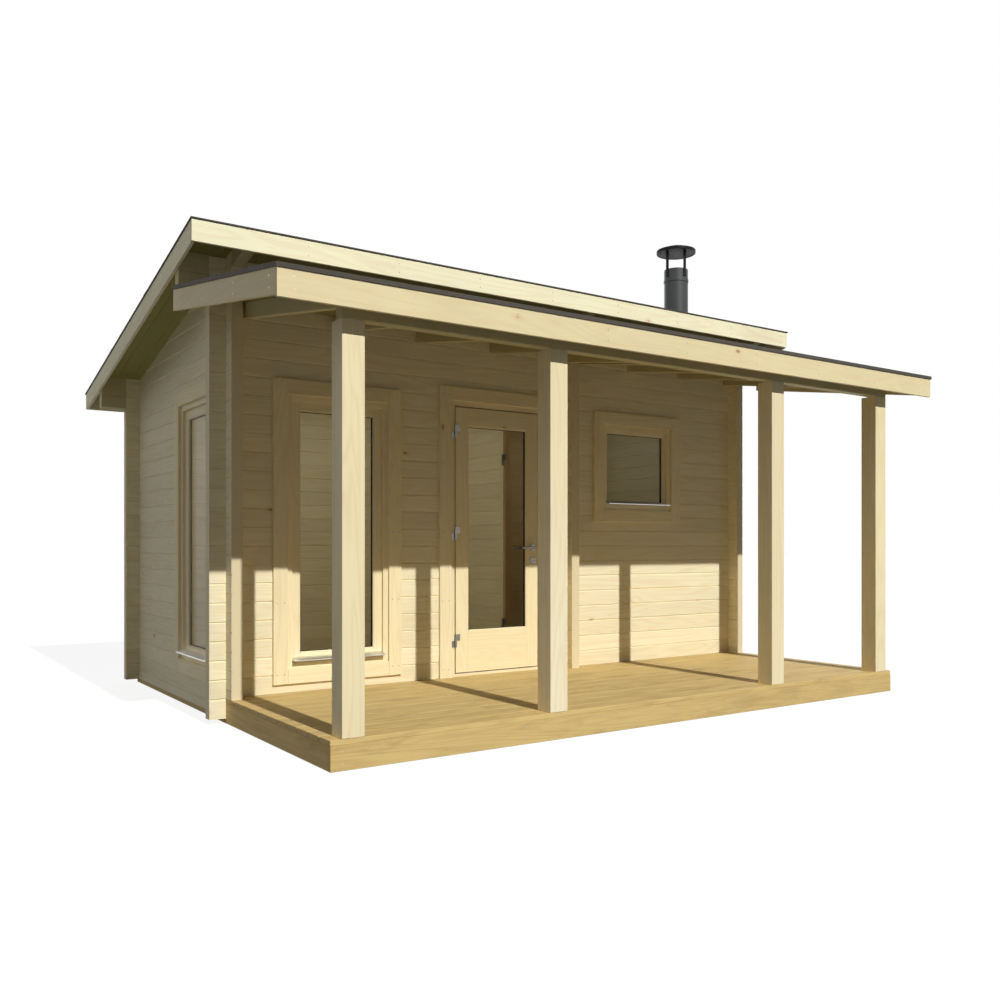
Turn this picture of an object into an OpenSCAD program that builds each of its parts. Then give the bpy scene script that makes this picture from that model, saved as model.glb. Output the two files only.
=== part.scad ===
// Log sauna cabin with a porch: interlocking log walls, a monopitch main roof that falls to
// the back and a lower porch roof that falls to the front. Millimetres, +Z up.
// Inside the modules x runs right from the cabin's left wall, y runs back from the front edge
// of the deck and z runs up from the ground; place() moves all of it to the part's own origin,
// at ground level under the middle of the bounding box.

/* [Cabin] */
// Width over the outer faces of the side walls
cabin_w = 4440; // [4000:10:5330]
// Depth over the outer faces of the front and back walls
cabin_d = 2120; // [1800:10:2600]
// Depth of the deck in front of the front wall
porch_d = 1500; // [1260:10:1800]
// Height of the front wall's outer face under the roof boards, above the ground
wall_h = 2790; // [2700:5:2960]

/* [Logs] */
// Thickness of a wall log
log_t = 70; // [60:1:84]
// Height of one log course
log_h = 115; // [96:1:138]
// How far the log ends stand out past a crossing
log_end = 100; // [84:1:120]
// Depth of the V groove between two courses
groove = 6; // [3:1:8]

/* [Base and floor] */
// Height of the treated base beams under the logs
base_h = 30; // [24:1:36]
// Thickness of the floor and deck boards
board_t = 28; // [24:1:34]
// Height of the deck's walking surface above the ground
deck_h = 150; // [125:1:180]
// Spacing of the joists under the deck and the floor
joist_step = 560; // [400:10:680]

/* [Roofs] */
// Slope of the main roof, down to the back
main_pitch = 12; // [10:0.5:13]
// Slope of the porch roof, down to the front
porch_pitch = 9; // [7.5:0.5:10]
// Front overhang of the main roof past the front wall
main_front = 326; // [280:1:391]
// Back overhang of the main roof past the back wall
main_back = 400; // [335:1:480]
// Side overhang of the main roof past the side walls
main_side = 300; // [250:1:360]
// Front overhang of the porch roof past the deck
porch_front = 124; // [100:1:149]
// Side overhang of the porch roof past the side walls
porch_side = 310; // [260:1:372]
// Height of the top of the porch roof boards at their front edge
porch_eave_h = 2298; // [2250:1:2340]
// Thickness of the roof boards
roof_board_t = 20; // [17:1:24]
// Height of the main roof's fascia and barge boards
main_fascia_h = 124; // [104:1:148]
// Height of the porch roof's fascia
porch_fascia_h = 132; // [110:1:150]
// Height of the porch roof's barge boards
porch_barge_h = 122; // [102:1:146]
// Thickness of the fascia and barge boards
fascia_t = 20; // [17:1:24]
// Thickness of the main roof's felt with its edge
felt_t = 8; // [6:1:12]
// Thickness of the porch roof's felt with its edge
porch_felt_t = 22; // [18:1:26]

/* [Posts] */
// Side of a square porch post
post_w = 120; // [100:1:144]
// Gap between the end posts and the deck's ends
post_in = 60; // [50:1:72]
// Left face of the second post
post_2_x = 1300; // [1200:1:1340]
// Left face of the third post
post_3_x = 3128; // [2900:1:3400]
// Height of the beam over the posts
beam_h = 150; // [125:1:180]
// Thickness of the beam over the posts
beam_t = 70; // [58:1:84]

/* [Entrance door] */
// Left edge of the doorway in the logs
door_x = 1566; // [1540:1:1700]
// Width of the doorway in the logs
door_w = 816; // [700:1:860]
// Top of the doorway above the ground
door_top = 2085; // [2000:1:2100]
// Thickness of the door leaf
leaf_t = 44; // [37:1:52]
// Width of the leaf's stiles
stile_w = 95; // [80:1:114]
// Height of the leaf's bottom rail
bottom_rail = 284; // [237:1:340]
// Width of the door frame's posts and head
frame_w = 45; // [38:1:54]
// Height of the leaf's top rail
top_rail = 120; // [100:1:144]
// Height of the door's threshold above the deck
threshold_h = 20; // [16:1:24]
// Running gap round a door leaf
door_gap = 8; // [6:1:10]

/* [Windows] */
// Left edge of the tall window's opening
tall_x = 375; // [330:1:420]
// Width of the tall window's opening
tall_w = 724; // [603:1:740]
// Sill height of the tall window's and the side window's openings
tall_sill = 290; // [242:1:348]
// Gap between the partition and the small window's opening
small_off = 301; // [250:1:361]
// Width of the small window's opening
small_w = 745; // [620:1:890]
// Sill height of the small window's opening
small_sill = 1335; // [1115:1:1500]
// Top of every window opening
window_top = 2020; // [1900:1:2060]
// Gap between the front wall's inner face and the side window's opening
side_off = 150; // [125:1:180]
// Width of the side window's opening
side_w = 724; // [603:1:869]
// Width of the casing boards round doors and windows
casing_w = 95; // [79:1:114]
// Thickness of the casing boards
casing_t = 20; // [17:1:24]
// Width of the sash bars in a window
sash_w = 50; // [42:1:60]

/* [Partition] */
// Left face of the partition
partition_x = 2574; // [2500:1:2650]
// Gap between the front wall's inner face and the inner doorway
inner_off = 62; // [52:1:74]
// Width of the inner doorway
inner_w = 700; // [600:1:760]
// Top of the inner doorway above the ground
inner_top = 2050; // [1980:1:2080]
// Thickness of the inner doorway's lining
lining_t = 28; // [24:1:34]
// Thickness of the inner door's glass
inner_glass_t = 8; // [6:1:10]

/* [Chimney] */
// Outer diameter of the insulated chimney pipe
flue_d = 205; // [171:1:246]
// Height of the chimney pipe's top above the ground
flue_top = 3465; // [3300:1:3700]
// Gap between the chimney's axis and the right wall's inner face
flue_off_x = 281; // [235:1:337]
// Gap between the chimney's axis and the front wall's inner face
flue_off_y = 270; // [225:1:324]
// Diameter of the chimney cap
cap_d = 336; // [290:1:400]
// Height of the chimney cap's hood
cap_h = 71; // [59:1:85]

/* [Hidden] */
$fn = 48;
BIG = 20000;

// Lines and planes of the building
front_y = porch_d;                    // front wall, outer face
front_in = front_y + log_t;           // front wall, inner face
back_y = porch_d + cabin_d;           // back wall, outer face
back_in = back_y - log_t;             // back wall, inner face
right_x = cabin_w - log_t;            // right wall, inner face
side_xs = [0, partition_x, right_x];  // walls that run from front to back
cross_ys = [front_y, back_in];        // walls that run from left to right
main_y0 = front_y - main_front;       // main roof, front edge
main_y1 = back_y + main_back;         // main roof, back edge
main_x0 = -main_side;                 // main roof, left and right edges
main_x1 = cabin_w + main_side;
mid_y = (main_y1 - porch_front) / 2;  // middle of the bounding box
board_v = roof_board_t / cos(main_pitch);
porch_board_v = roof_board_t / cos(porch_pitch);
small_x = partition_x + log_t + small_off;
side_window_y = front_in + side_off;
inner_y = front_in + inner_off;

// Clearances
fit = 0.3;                            // round a seated piece
seat = 0.05;                          // between two sloping faces that rest on each other
floor_gap = 2;                        // between a floor and the walls round it
rafter_gap = 20;                      // between a log end and the rafter next to it
flue_gap = 20;                        // between the pipe and the roof round it

// Timber under the floors and the roofs
joist_t = 45;
joist_top = deck_h - board_t;
bracket_h = 95;                       // log ends under the front and back overhangs
side_bracket_h = 2 * log_h;           // log ends under the side overhangs
purlin_h = 120;
purlin_t = 70;
purlin_x0 = log_t / 2;                // purlins end halfway into the side walls
purlin_x1 = cabin_w - log_t / 2;
purlin_ys = [front_y + 0.35 * cabin_d, front_y + 0.68 * cabin_d];
rafter_t = 45;
rafter_h = 95;
rafter_bays = [[log_t, partition_x, 5], [partition_x + log_t, right_x, 4]];
felt_lip = 6;                         // felt past the fascia

// Entrance leaf and its frame
leaf_x = door_x + frame_w + door_gap;
leaf_w = door_w - 2 * (frame_w + door_gap);
leaf_y = front_y;                     // leaf's outer face, flush with the frame's
leaf_z = deck_h + threshold_h + door_gap;
leaf_h = door_top - frame_w - door_gap - leaf_z;
stop_y = leaf_y + leaf_t + 5;         // frame's stop, behind the leaf
stop_w = door_gap + 8;                // how far the stop stands into the opening
casing_lap = 10;                      // casing over the edge of a frame
pane_t = 20;                          // sealed double glazing
pane_seat = 10;                       // how deep a pane sits in its groove

// Inner leaf, a sheet of glass
inner_leaf_y = inner_y + lining_t + door_gap;
inner_leaf_w = inner_w - 2 * (lining_t + door_gap);
inner_leaf_z = deck_h + threshold_h + door_gap;
inner_leaf_h = inner_top - lining_t - door_gap - inner_leaf_z;

// Lever handles and pulls
handle_z = deck_h + 900;
rose_r = 24;
rose_t = 8;
grip_r = 9;
grip_out = 45;                        // lever's axis off the leaf
grip_l = 115;
pull_r = 13;
pull_l = 260;
pull_in = 60;                         // pull's axis from the edge of the glass
pull_end = 30;                        // pull past its studs
stud_r = 7;
stud_l = 38;

// Lift-off hinges
barrel_r = 8;
barrel_h = 45;
pin_r = 4;
pin_short = 8;                        // pin short of the top of the upper barrel
wing_t = 3;
wing_in = 2.5;                        // wing's near face from the back of the barrel
lower_wing = 28;
upper_wing = 38;
hinge_x = door_x + frame_w + door_gap / 2;
hinge_y = leaf_y - barrel_r - 0.5;
hinge_zs = [leaf_z + 180, leaf_z + leaf_h / 2, leaf_z + leaf_h - 220];
inner_hinge_x = partition_x - barrel_r - 0.5;
inner_hinge_y = inner_y + inner_w - lining_t - door_gap / 2;
inner_hinge_zs = [inner_leaf_z + 200, inner_leaf_z + inner_leaf_h - 290];

// Windows
sash_y = 20;                          // sash's face behind the wall's face
sash_t = 44;
bar_h = 19;                           // weather bar on the sash's bottom rail
bar_low = 37;                         // its underside below the glass
bar_lip = 7;                          // its front edge
bar_out = casing_t + 24;              // how far it stands out of the wall

// Porch beam
beam_top = porch_under(0);
beam_bottom = beam_top - beam_h;
barge_y0 = fascia_t - porch_front;    // front end of the porch's barge boards

// Chimney
flue_x = right_x - flue_off_x;
flue_y = front_in + flue_off_y;
flue_wall = 28;
flue_under = 260;                     // pipe below the roof boards
band_h = 24;                          // locking band round the pipe's joint
band_t = 4;
band_drop = 111;                      // band's underside below the pipe's top
flange = 110;                         // flashing's plate past the pipe
plate_t = 3;
collar_h = 110;                       // flashing's collar over the felt
collar_t = 6;
cap_gap = 146;                        // open height between the pipe and the hood
cap_rim = 24;                         // upright rim of the hood
strut_w = 30;
strut_t = 4;
strut_lap = 70;                       // strut along the pipe

// Underside of the main roof boards, and the top of the porch roof boards, at a given y
function main_under(y) = wall_h - (y - front_y) * tan(main_pitch);
function main_top(y) = main_under(y) + board_v;
function porch_top(y) = porch_eave_h + (y + porch_front) * tan(porch_pitch);
function porch_under(y) = porch_top(y) - porch_board_v;

// Heights of the joints between courses, from the first one up
function joints(first, z0, z1) =
    [for (z = first; z < z1 - 2 * groove; z = z + log_h) if (z > z0 + 2 * groove) z];

// Cross-section of a log wall: V grooves on both faces at every joint
function wall_section(first, z0, z1) = let (js = joints(first, z0, z1)) concat(
    [[0, z0]],
    [for (z = js) each [[0, z - groove], [groove, z], [0, z + groove]]],
    [[0, z1], [log_t, z1]],
    [for (i = [len(js) - 1 : -1 : 0])
        each [[log_t, js[i] + groove], [log_t - groove, js[i]], [log_t, js[i] - groove]]],
    [[log_t, z0]]);

module place() { translate([-cabin_w / 2, -mid_y, 0]) children(); }

// Extrudes an outline drawn in (y, z) along x, from x0 to x1
module along_x(x0, x1) { translate([x0, 0, 0]) rotate([90, 0, 90]) linear_extrude(x1 - x0) children(); }

// Extrudes an outline drawn in (x, z) along y, from y0 to y1
module along_y(y0, y1) { translate([0, y1, 0]) rotate([90, 0, 0]) linear_extrude(y1 - y0) children(); }

module box(x0, x1, y0, y1, z0, z1) { translate([x0, y0, z0]) cube([x1 - x0, y1 - y0, z1 - z0]); }

// A sloping slab between two lines over y
module slab(x0, x1, y0, y1, low0, low1, high0, high1) {
    along_x(x0, x1) polygon([[y0, low0], [y1, low1], [y1, high1], [y0, high0]]);
}

// ---- Log walls -------------------------------------------------------------------------

// Everything over the underside of the main roof boards
module over_main_roof() {
    slab(-BIG / 2, BIG / 2, -BIG / 10, BIG / 2, main_under(-BIG / 10), main_under(BIG / 2), BIG, BIG);
}

// Stretch of a wall that runs left to right, with whole courses from the base up
module logs_x(x0, x1, y, z0 = base_h, z1 = BIG / 5) {
    translate([0, y, 0]) along_x(x0, x1) polygon(wall_section(base_h + log_h, z0, z1));
}

// Stretch of a wall that runs front to back, half a course out of step with the others
module logs_y(y0, y1, x, z0 = base_h, z1 = BIG / 5) {
    translate([x, 0, 0]) along_y(y0, y1) polygon(wall_section(base_h + log_h / 2, z0, z1));
}

// The middle half of each side wall log, where it passes through a wall across it
module side_cores(x, y) {
    for (z = [base_h : log_h : wall_h + log_h])
        box(x, x + log_t, y - 1, y + log_t + 1, z - log_h / 4, z + log_h / 4);
}

// The middle half of each cross wall log, where it passes through a side wall
module cross_cores(x, y) {
    for (z = [base_h + log_h / 2 : log_h : wall_h + log_h])
        box(x - 1, x + log_t + 1, y, y + log_t, z - log_h / 4, z + log_h / 4);
}

// A wall across the cabin, notched for the side walls, with its top cut to the roof
module cross_wall(x0, x1, y) {
    difference() {
        logs_x(x0, x1, y);
        for (x = side_xs) side_cores(x, y);
        over_main_roof();
    }
}

// A wall from front to back, notched for the cross walls and purlins; it stands on the base
// frame, its front log ends on the deck
module side_wall(x, y0, y1) {
    difference() {
        logs_y(y0, y1, x);
        for (y = cross_ys) cross_cores(x, y);
        for (y = purlin_ys) purlin(max(x - 1, purlin_x0), min(x + log_t + 1, purlin_x1), y);
        box(x - 1, x + log_t + 1, 0, front_y, 0, deck_h);
        over_main_roof();
    }
}

module front_wall_left() {
    color("Wheat") place() difference() {
        cross_wall(-log_end, door_x, front_y);
        box(tall_x, tall_x + tall_w, front_y - 1, front_in + 1, tall_sill, window_top);
    }
}

module front_wall_over_door() {
    color("Wheat") place() difference() {
        logs_x(door_x, door_x + door_w, front_y, door_top);
        over_main_roof();
    }
}

module front_wall_right() {
    color("Wheat") place() difference() {
        cross_wall(door_x + door_w, cabin_w + log_end, front_y);
        box(small_x, small_x + small_w, front_y - 1, front_in + 1, small_sill, window_top);
    }
}

module back_wall() {
    color("Wheat") place() cross_wall(-log_end, cabin_w + log_end, back_in);
}

module left_wall() {
    color("Tan") place() difference() {
        side_wall(0, front_y - log_end, back_y + log_end);
        box(-1, log_t + 1, side_window_y, side_window_y + side_w, tall_sill, window_top);
    }
}

module right_wall() {
    color("Tan") place() side_wall(right_x, front_y - log_end, back_y + log_end);
}

module partition_front() {
    color("Tan") place() side_wall(partition_x, front_y - log_end, inner_y);
}

module partition_back() {
    color("Tan") place() side_wall(partition_x, inner_y + inner_w, back_y + log_end);
}

module partition_over_door() {
    color("Tan") place() difference() {
        logs_y(inner_y, inner_y + inner_w, partition_x, inner_top);
        for (y = purlin_ys) purlin(partition_x - 1, partition_x + log_t + 1, y);
        over_main_roof();
    }
}

// ---- Base, floor and deck --------------------------------------------------------------

// Treated beams under every wall
module base_beams() {
    color("DarkKhaki") place() difference() {
        box(0, cabin_w, front_y, back_y, 0, base_h);
        box(log_t, partition_x, front_in, back_in, -1, base_h + 1);
        box(partition_x + log_t, right_x, front_in, back_in, -1, base_h + 1);
    }
}

// Joists under both rooms' floors, a floor_gap clear of the beams beside them
module floor_joists() {
    color("DarkKhaki") place()
        for (bay = [[log_t, partition_x], [partition_x + log_t, right_x]],
             x = [bay[0] + floor_gap : joist_step : bay[1] - joist_t])
            box(x, x + joist_t, front_in, back_in, 0, joist_top);
}

// Beam that fills the front wall under the entrance
module door_sill() {
    color("DarkKhaki") place() box(door_x, door_x + door_w, front_y, front_in, base_h, deck_h);
}

module cabin_floor() {
    color("BurlyWood") place() {
        box(log_t + floor_gap, partition_x - floor_gap, front_in + floor_gap,
            back_in - floor_gap, deck_h - board_t, deck_h);
        box(partition_x + log_t + floor_gap, right_x - floor_gap, front_in + floor_gap,
            back_in - floor_gap, deck_h - board_t, deck_h);
        // floor under the inner doorway
        box(partition_x, partition_x + log_t, inner_y, inner_y + inner_w, base_h, deck_h);
    }
}

module deck_beams() {
    color("DarkGoldenrod") place() for (y = [board_t, front_y - joist_t])
        box(board_t, cabin_w - board_t, y, y + joist_t, 0, joist_top);
}

module deck_joists() {
    last = cabin_w - board_t - joist_t;
    color("DarkGoldenrod") place()
        for (x = concat([for (x = board_t; x < last - joist_t; x = x + joist_step) x], [last]))
            box(x, x + joist_t, board_t + joist_t, front_y - joist_t, 0, joist_top);
}

module deck_boards() {
    color("Peru") place() box(0, cabin_w, 0, front_y, deck_h - board_t, deck_h);
}

// Boards that close the deck's front and its two sides
module deck_front_board() { color("Peru") place() box(0, cabin_w, 0, board_t, 0, joist_top); }

module deck_side_boards() {
    color("Peru") place() for (x = [0, cabin_w - board_t])
        box(x, x + board_t, board_t, front_y, 0, joist_top);
}

// ---- Doors -----------------------------------------------------------------------------

// A ring of boards round an opening, drawn in (x, z): w by h outside, bar wide
module ring(x, z, w, h, bar) {
    translate([x, z]) difference() {
        square([w, h]);
        translate([bar, bar]) square([w - 2 * bar, h - 2 * bar]);
    }
}

// Posts and head of the entrance's frame, its stop and the threshold
module door_frame() {
    color("BurlyWood") place() {
        difference() {
            box(door_x, door_x + door_w, front_y, front_in, deck_h, door_top);
            box(door_x + frame_w, door_x + door_w - frame_w, front_y - 1, stop_y,
                deck_h + threshold_h, door_top - frame_w);
            box(door_x + frame_w + stop_w, door_x + door_w - frame_w - stop_w, front_y, front_in + 1,
                deck_h + threshold_h, door_top - frame_w - stop_w);
        }
    }
}

module door_casing() {
    out = casing_w - casing_lap;
    color("Moccasin") place() difference() {
        box(door_x - out, door_x + door_w + out, front_y - casing_t, front_y, deck_h, door_top + out);
        box(door_x + casing_lap, door_x + door_w - casing_lap, front_y - casing_t - 1, front_y + 1,
            deck_h - 1, door_top - casing_lap);
    }
}

// Body of a glazed leaf: stiles and rails round a pane, with a groove for its edge
module door_leaf() {
    color("Wheat") place() difference() {
        box(leaf_x, leaf_x + leaf_w, leaf_y, leaf_y + leaf_t, leaf_z, leaf_z + leaf_h);
        box(leaf_x + stile_w, leaf_x + leaf_w - stile_w, leaf_y - 1, leaf_y + leaf_t + 1,
            leaf_z + bottom_rail, leaf_z + leaf_h - top_rail);
        leaf_pane(pane_seat);
    }
}

module leaf_pane(edge) {
    mid = leaf_y + leaf_t / 2;
    grow = pane_seat - edge;
    box(leaf_x + stile_w - edge, leaf_x + leaf_w - stile_w + edge,
        mid - pane_t / 2 + grow, mid + pane_t / 2 - grow,
        leaf_z + bottom_rail - edge, leaf_z + leaf_h - top_rail + edge);
}

module door_glass() { color("SlateGray") place() leaf_pane(pane_seat - fit); }

// Lever handles on round roses, on both faces of the leaf
module door_handle() {
    hx = leaf_x + leaf_w - stile_w / 2;
    color("Silver") place() for (s = [[leaf_y, -1], [leaf_y + leaf_t, 1]])
        translate([hx, s[0], handle_z]) rotate([-s[1] * 90, 0, 0]) lever();
}

// One lever: rose, neck and grip, standing up from z = 0
module lever() {
    cylinder(r = rose_r, h = rose_t);
    cylinder(r = grip_r, h = grip_out);
    translate([0, 0, grip_out]) {
        sphere(r = grip_r);
        rotate([0, -90, 0]) cylinder(r = grip_r, h = grip_l);
        translate([-grip_l, 0, 0]) sphere(r = grip_r);
    }
}

// Lower half of a lift-off hinge: barrel with a pin, and a leaf into the frame
module hinge_lower(wing) {
    cylinder(r = barrel_r, h = barrel_h);
    cylinder(r = pin_r, h = 2 * barrel_h - pin_short);
    translate([-wing, barrel_r - wing_in, 0]) cube([wing, wing_t, barrel_h]);
}

// Upper half: barrel with a blind bore over the pin, and a leaf onto the door
module hinge_upper(wing) {
    difference() {
        union() {
            translate([0, 0, barrel_h + fit]) cylinder(r = barrel_r, h = barrel_h);
            translate([0, barrel_r - wing_in, barrel_h + fit]) cube([wing, wing_t, barrel_h]);
        }
        translate([0, 0, barrel_h - 1]) cylinder(r = pin_r + fit, h = barrel_h - pin_short + 3);
    }
}

module door_hinge_sockets() {
    color("Silver") place() for (z = hinge_zs)
        translate([hinge_x, hinge_y, z]) hinge_upper(upper_wing);
}

module hinge_pins() {
    color("Silver") place() {
        for (z = hinge_zs) translate([hinge_x, hinge_y, z]) hinge_lower(lower_wing);
        for (z = inner_hinge_zs) translate([inner_hinge_x, inner_hinge_y, z])
            rotate(-90) hinge_lower(lower_wing - 4);
    }
}

// Lining of the inner doorway, and the glass leaf flush with its left face
module inner_door_frame() {
    back = partition_x + inner_glass_t + 5;
    color("BurlyWood") place() difference() {
        box(partition_x, partition_x + log_t, inner_y, inner_y + inner_w, deck_h, inner_top);
        box(partition_x - 1, back, inner_y + lining_t, inner_y + inner_w - lining_t,
            deck_h + threshold_h, inner_top - lining_t);
        box(back - 1, partition_x + log_t + 1, inner_y + lining_t + stop_w,
            inner_y + inner_w - lining_t - stop_w, deck_h + threshold_h,
            inner_top - lining_t - stop_w);
    }
}

module inner_door_glass() {
    color("SaddleBrown") place() box(partition_x, partition_x + inner_glass_t,
        inner_leaf_y, inner_leaf_y + inner_leaf_w, inner_leaf_z, inner_leaf_z + inner_leaf_h);
}

// Round wooden pulls on both faces of the glass, and the upper halves of its hinges
module inner_door_fittings() {
    color("Sienna") place() {
        for (s = [[partition_x, -1], [partition_x + inner_glass_t, 1]])
            translate([s[0], inner_leaf_y + pull_in, handle_z]) {
                for (z = [pull_end, pull_l - pull_end])
                    translate([0, 0, z]) rotate([0, s[1] * 90, 0]) cylinder(r = stud_r, h = stud_l);
                translate([s[1] * grip_out, 0, 0]) cylinder(r = pull_r, h = pull_l);
            }
        for (z = inner_hinge_zs) translate([inner_hinge_x, inner_hinge_y, z])
            rotate(-90) hinge_upper(upper_wing);
    }
}

// ---- Windows ---------------------------------------------------------------------------
// Drawn from the lower left corner of an opening, on the wall's outer face: x along the wall,
// y into it

module window_frame(w, h) {
    inner = frame_w + sash_w;
    difference() {
        union() {
            along_y(0, log_t) ring(0, 0, w, h, frame_w);
            along_y(sash_y, sash_y + sash_t) ring(frame_w - 1, frame_w - 1, w - 2 * frame_w + 2,
                                                  h - 2 * frame_w + 2, sash_w + 1);
        }
        window_pane(w, h, pane_seat);
    }
}

module window_pane(w, h, edge) {
    side = frame_w + sash_w - edge;
    mid = sash_y + sash_t / 2;
    half = pane_t / 2 - (pane_seat - edge);
    box(side, w - side, mid - half, mid + half, side, h - side);
}

module window_casing(w, h) {
    out = casing_w - casing_lap;
    along_y(-casing_t, 0) ring(-out, -out, w + 2 * out, h + 2 * out, casing_w);
}

// Metal weather bar under the glass, its top falling outwards
module weather_bar(w) {
    z = frame_w + sash_w - bar_low;
    along_x(frame_w + fit, w - frame_w - fit)
        polygon([[sash_y, z], [-bar_out, z - 4], [-bar_out, z - 4 + bar_lip], [sash_y, z + bar_h]]);
}

module at_tall_window() { place() translate([tall_x, front_y, tall_sill]) children(); }

module at_small_window() { place() translate([small_x, front_y, small_sill]) children(); }

module at_side_window() {
    place() translate([0, side_window_y, tall_sill]) mirror([1, 0, 0]) rotate(90) children();
}

module window_frames() {
    color("Wheat") {
        at_tall_window() window_frame(tall_w, window_top - tall_sill);
        at_small_window() window_frame(small_w, window_top - small_sill);
        at_side_window() window_frame(side_w, window_top - tall_sill);
    }
}

module window_panes() {
    color("SlateGray") {
        at_tall_window() window_pane(tall_w, window_top - tall_sill, pane_seat - fit);
        at_small_window() window_pane(small_w, window_top - small_sill, pane_seat - fit);
        at_side_window() window_pane(side_w, window_top - tall_sill, pane_seat - fit);
    }
}

module window_casings() {
    color("Moccasin") {
        at_tall_window() window_casing(tall_w, window_top - tall_sill);
        at_small_window() window_casing(small_w, window_top - small_sill);
        at_side_window() window_casing(side_w, window_top - tall_sill);
    }
}

module weather_bars() {
    color("LightGray") {
        at_tall_window() weather_bar(tall_w);
        at_small_window() weather_bar(small_w);
        at_side_window() weather_bar(side_w);
    }
}

// ---- Porch -----------------------------------------------------------------------------

// Log ends that pass through the porch roof, with room round them
module porch_roof_notches(room) {
    for (x = side_xs)
        box(x - room, x + log_t + room, front_y - log_end - room, front_y + 1, 0, BIG);
}

module porch_posts() {
    color("NavajoWhite") place()
        for (x = [post_in, post_2_x, post_3_x, cabin_w - post_in - post_w])
            box(x, x + post_w, 0, post_w, deck_h, beam_bottom);
}

module porch_beam() {
    color("BurlyWood") place() slab(post_in, cabin_w - post_in, 0, beam_t, beam_bottom, beam_bottom,
        porch_under(0), porch_under(beam_t));
}

module porch_rafters() {
    color("BurlyWood") place() for (bay = rafter_bays) {
        x0 = bay[0] + rafter_gap;
        step = (bay[1] - rafter_gap - rafter_t - x0) / (bay[2] - 1);
        for (i = [0 : bay[2] - 1])
            slab(x0 + i * step, x0 + i * step + rafter_t, beam_t, front_y,
                 porch_under(beam_t) - rafter_h, porch_under(front_y) - rafter_h,
                 porch_under(beam_t), porch_under(front_y));
    }
}

module porch_roof_boards() {
    color("Tan") place() difference() {
        slab(fascia_t - porch_side, cabin_w + porch_side - fascia_t, barge_y0, front_y,
             porch_under(barge_y0) + seat, porch_under(front_y) + seat, porch_top(barge_y0),
             porch_top(front_y));
        porch_roof_notches(fit);
    }
}

module porch_roof_felt() {
    y0 = -porch_front - felt_lip;
    x0 = -porch_side - felt_lip;
    color("DimGray") place() difference() {
        slab(x0, cabin_w - x0, y0, front_y, porch_top(y0) + seat, porch_top(front_y) + seat,
             porch_top(y0) + porch_felt_t, porch_top(front_y) + porch_felt_t);
        porch_roof_notches(fit);
    }
}

module porch_fascia() {
    color("PeachPuff") place() slab(-porch_side, cabin_w + porch_side, -porch_front, barge_y0,
        porch_eave_h - porch_fascia_h, porch_eave_h - porch_fascia_h,
        porch_top(-porch_front), porch_top(barge_y0));
}

module porch_barge_boards() {
    drop = porch_barge_h / cos(porch_pitch);
    color("PeachPuff") place() for (x = [-porch_side, cabin_w + porch_side - fascia_t])
        slab(x, x + fascia_t, barge_y0, front_y, porch_top(barge_y0) - drop,
             porch_top(front_y) - drop, porch_top(barge_y0), porch_top(front_y));
}

// ---- Main roof -------------------------------------------------------------------------

// Purlin under the roof boards, its ends let into the side walls from inside
module purlin(x0, x1, y) {
    slab(x0, x1, y, y + purlin_t, main_under(y) - purlin_h, main_under(y) - purlin_h,
         main_under(y), main_under(y + purlin_t));
}

// Top log of each wall, where it runs on past the others to carry the roof's overhang
module eaves_log(x0, x1, y0, y1, h) {
    slab(x0, x1, y0, y1, main_under(y0) - h, main_under(y1) - h, main_under(y0), main_under(y1));
}

module eaves_log_ends() {
    color("Tan") place() {
        for (x = side_xs) {
            eaves_log(x, x + log_t, main_y0 + fascia_t, front_y - log_end, bracket_h);
            eaves_log(x, x + log_t, back_y + log_end, main_y1 - fascia_t, bracket_h);
        }
        for (y = cross_ys) {
            eaves_log(main_x0 + fascia_t, -log_end, y, y + log_t, side_bracket_h);
            eaves_log(cabin_w + log_end, main_x1 - fascia_t, y, y + log_t, side_bracket_h);
        }
    }
}

module roof_purlins() {
    color("BurlyWood") place() for (y = purlin_ys) purlin(purlin_x0, purlin_x1, y);
}

module main_roof_boards() {
    y0 = main_y0 + fascia_t;
    y1 = main_y1 - fascia_t;
    color("Tan") place() difference() {
        slab(main_x0 + fascia_t, main_x1 - fascia_t, y0, y1,
             main_under(y0) + seat, main_under(y1) + seat, main_top(y0), main_top(y1));
        translate([flue_x, flue_y, 0]) cylinder(d = flue_d + 2 * flue_gap, h = BIG);
    }
}

module main_roof_felt() {
    y0 = main_y0 - felt_lip;
    y1 = main_y1 + felt_lip;
    x0 = main_x0 - felt_lip;
    color("DimGray") place() difference() {
        slab(x0, cabin_w - x0, y0, y1, main_top(y0) + seat, main_top(y1) + seat,
             main_top(y0) + felt_t, main_top(y1) + felt_t);
        translate([flue_x, flue_y, 0]) cylinder(d = flue_d + 2 * flue_gap, h = BIG);
    }
}

module main_roof_fascias() {
    color("LemonChiffon") place() for (y = [main_y0, main_y1 - fascia_t])
        slab(main_x0, main_x1, y, y + fascia_t, main_top(y) - main_fascia_h,
             main_top(y) - main_fascia_h, main_top(y), main_top(y + fascia_t));
}

module main_roof_barge_boards() {
    drop = main_fascia_h / cos(main_pitch);
    y0 = main_y0 + fascia_t;
    y1 = main_y1 - fascia_t;
    color("LemonChiffon") place() for (x = [main_x0, main_x1 - fascia_t])
        slab(x, x + fascia_t, y0, y1, main_top(y0) - drop, main_top(y1) - drop,
             main_top(y0), main_top(y1));
}

// ---- Chimney ---------------------------------------------------------------------------

module at_flue() { place() translate([flue_x, flue_y, 0]) children(); }

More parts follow.
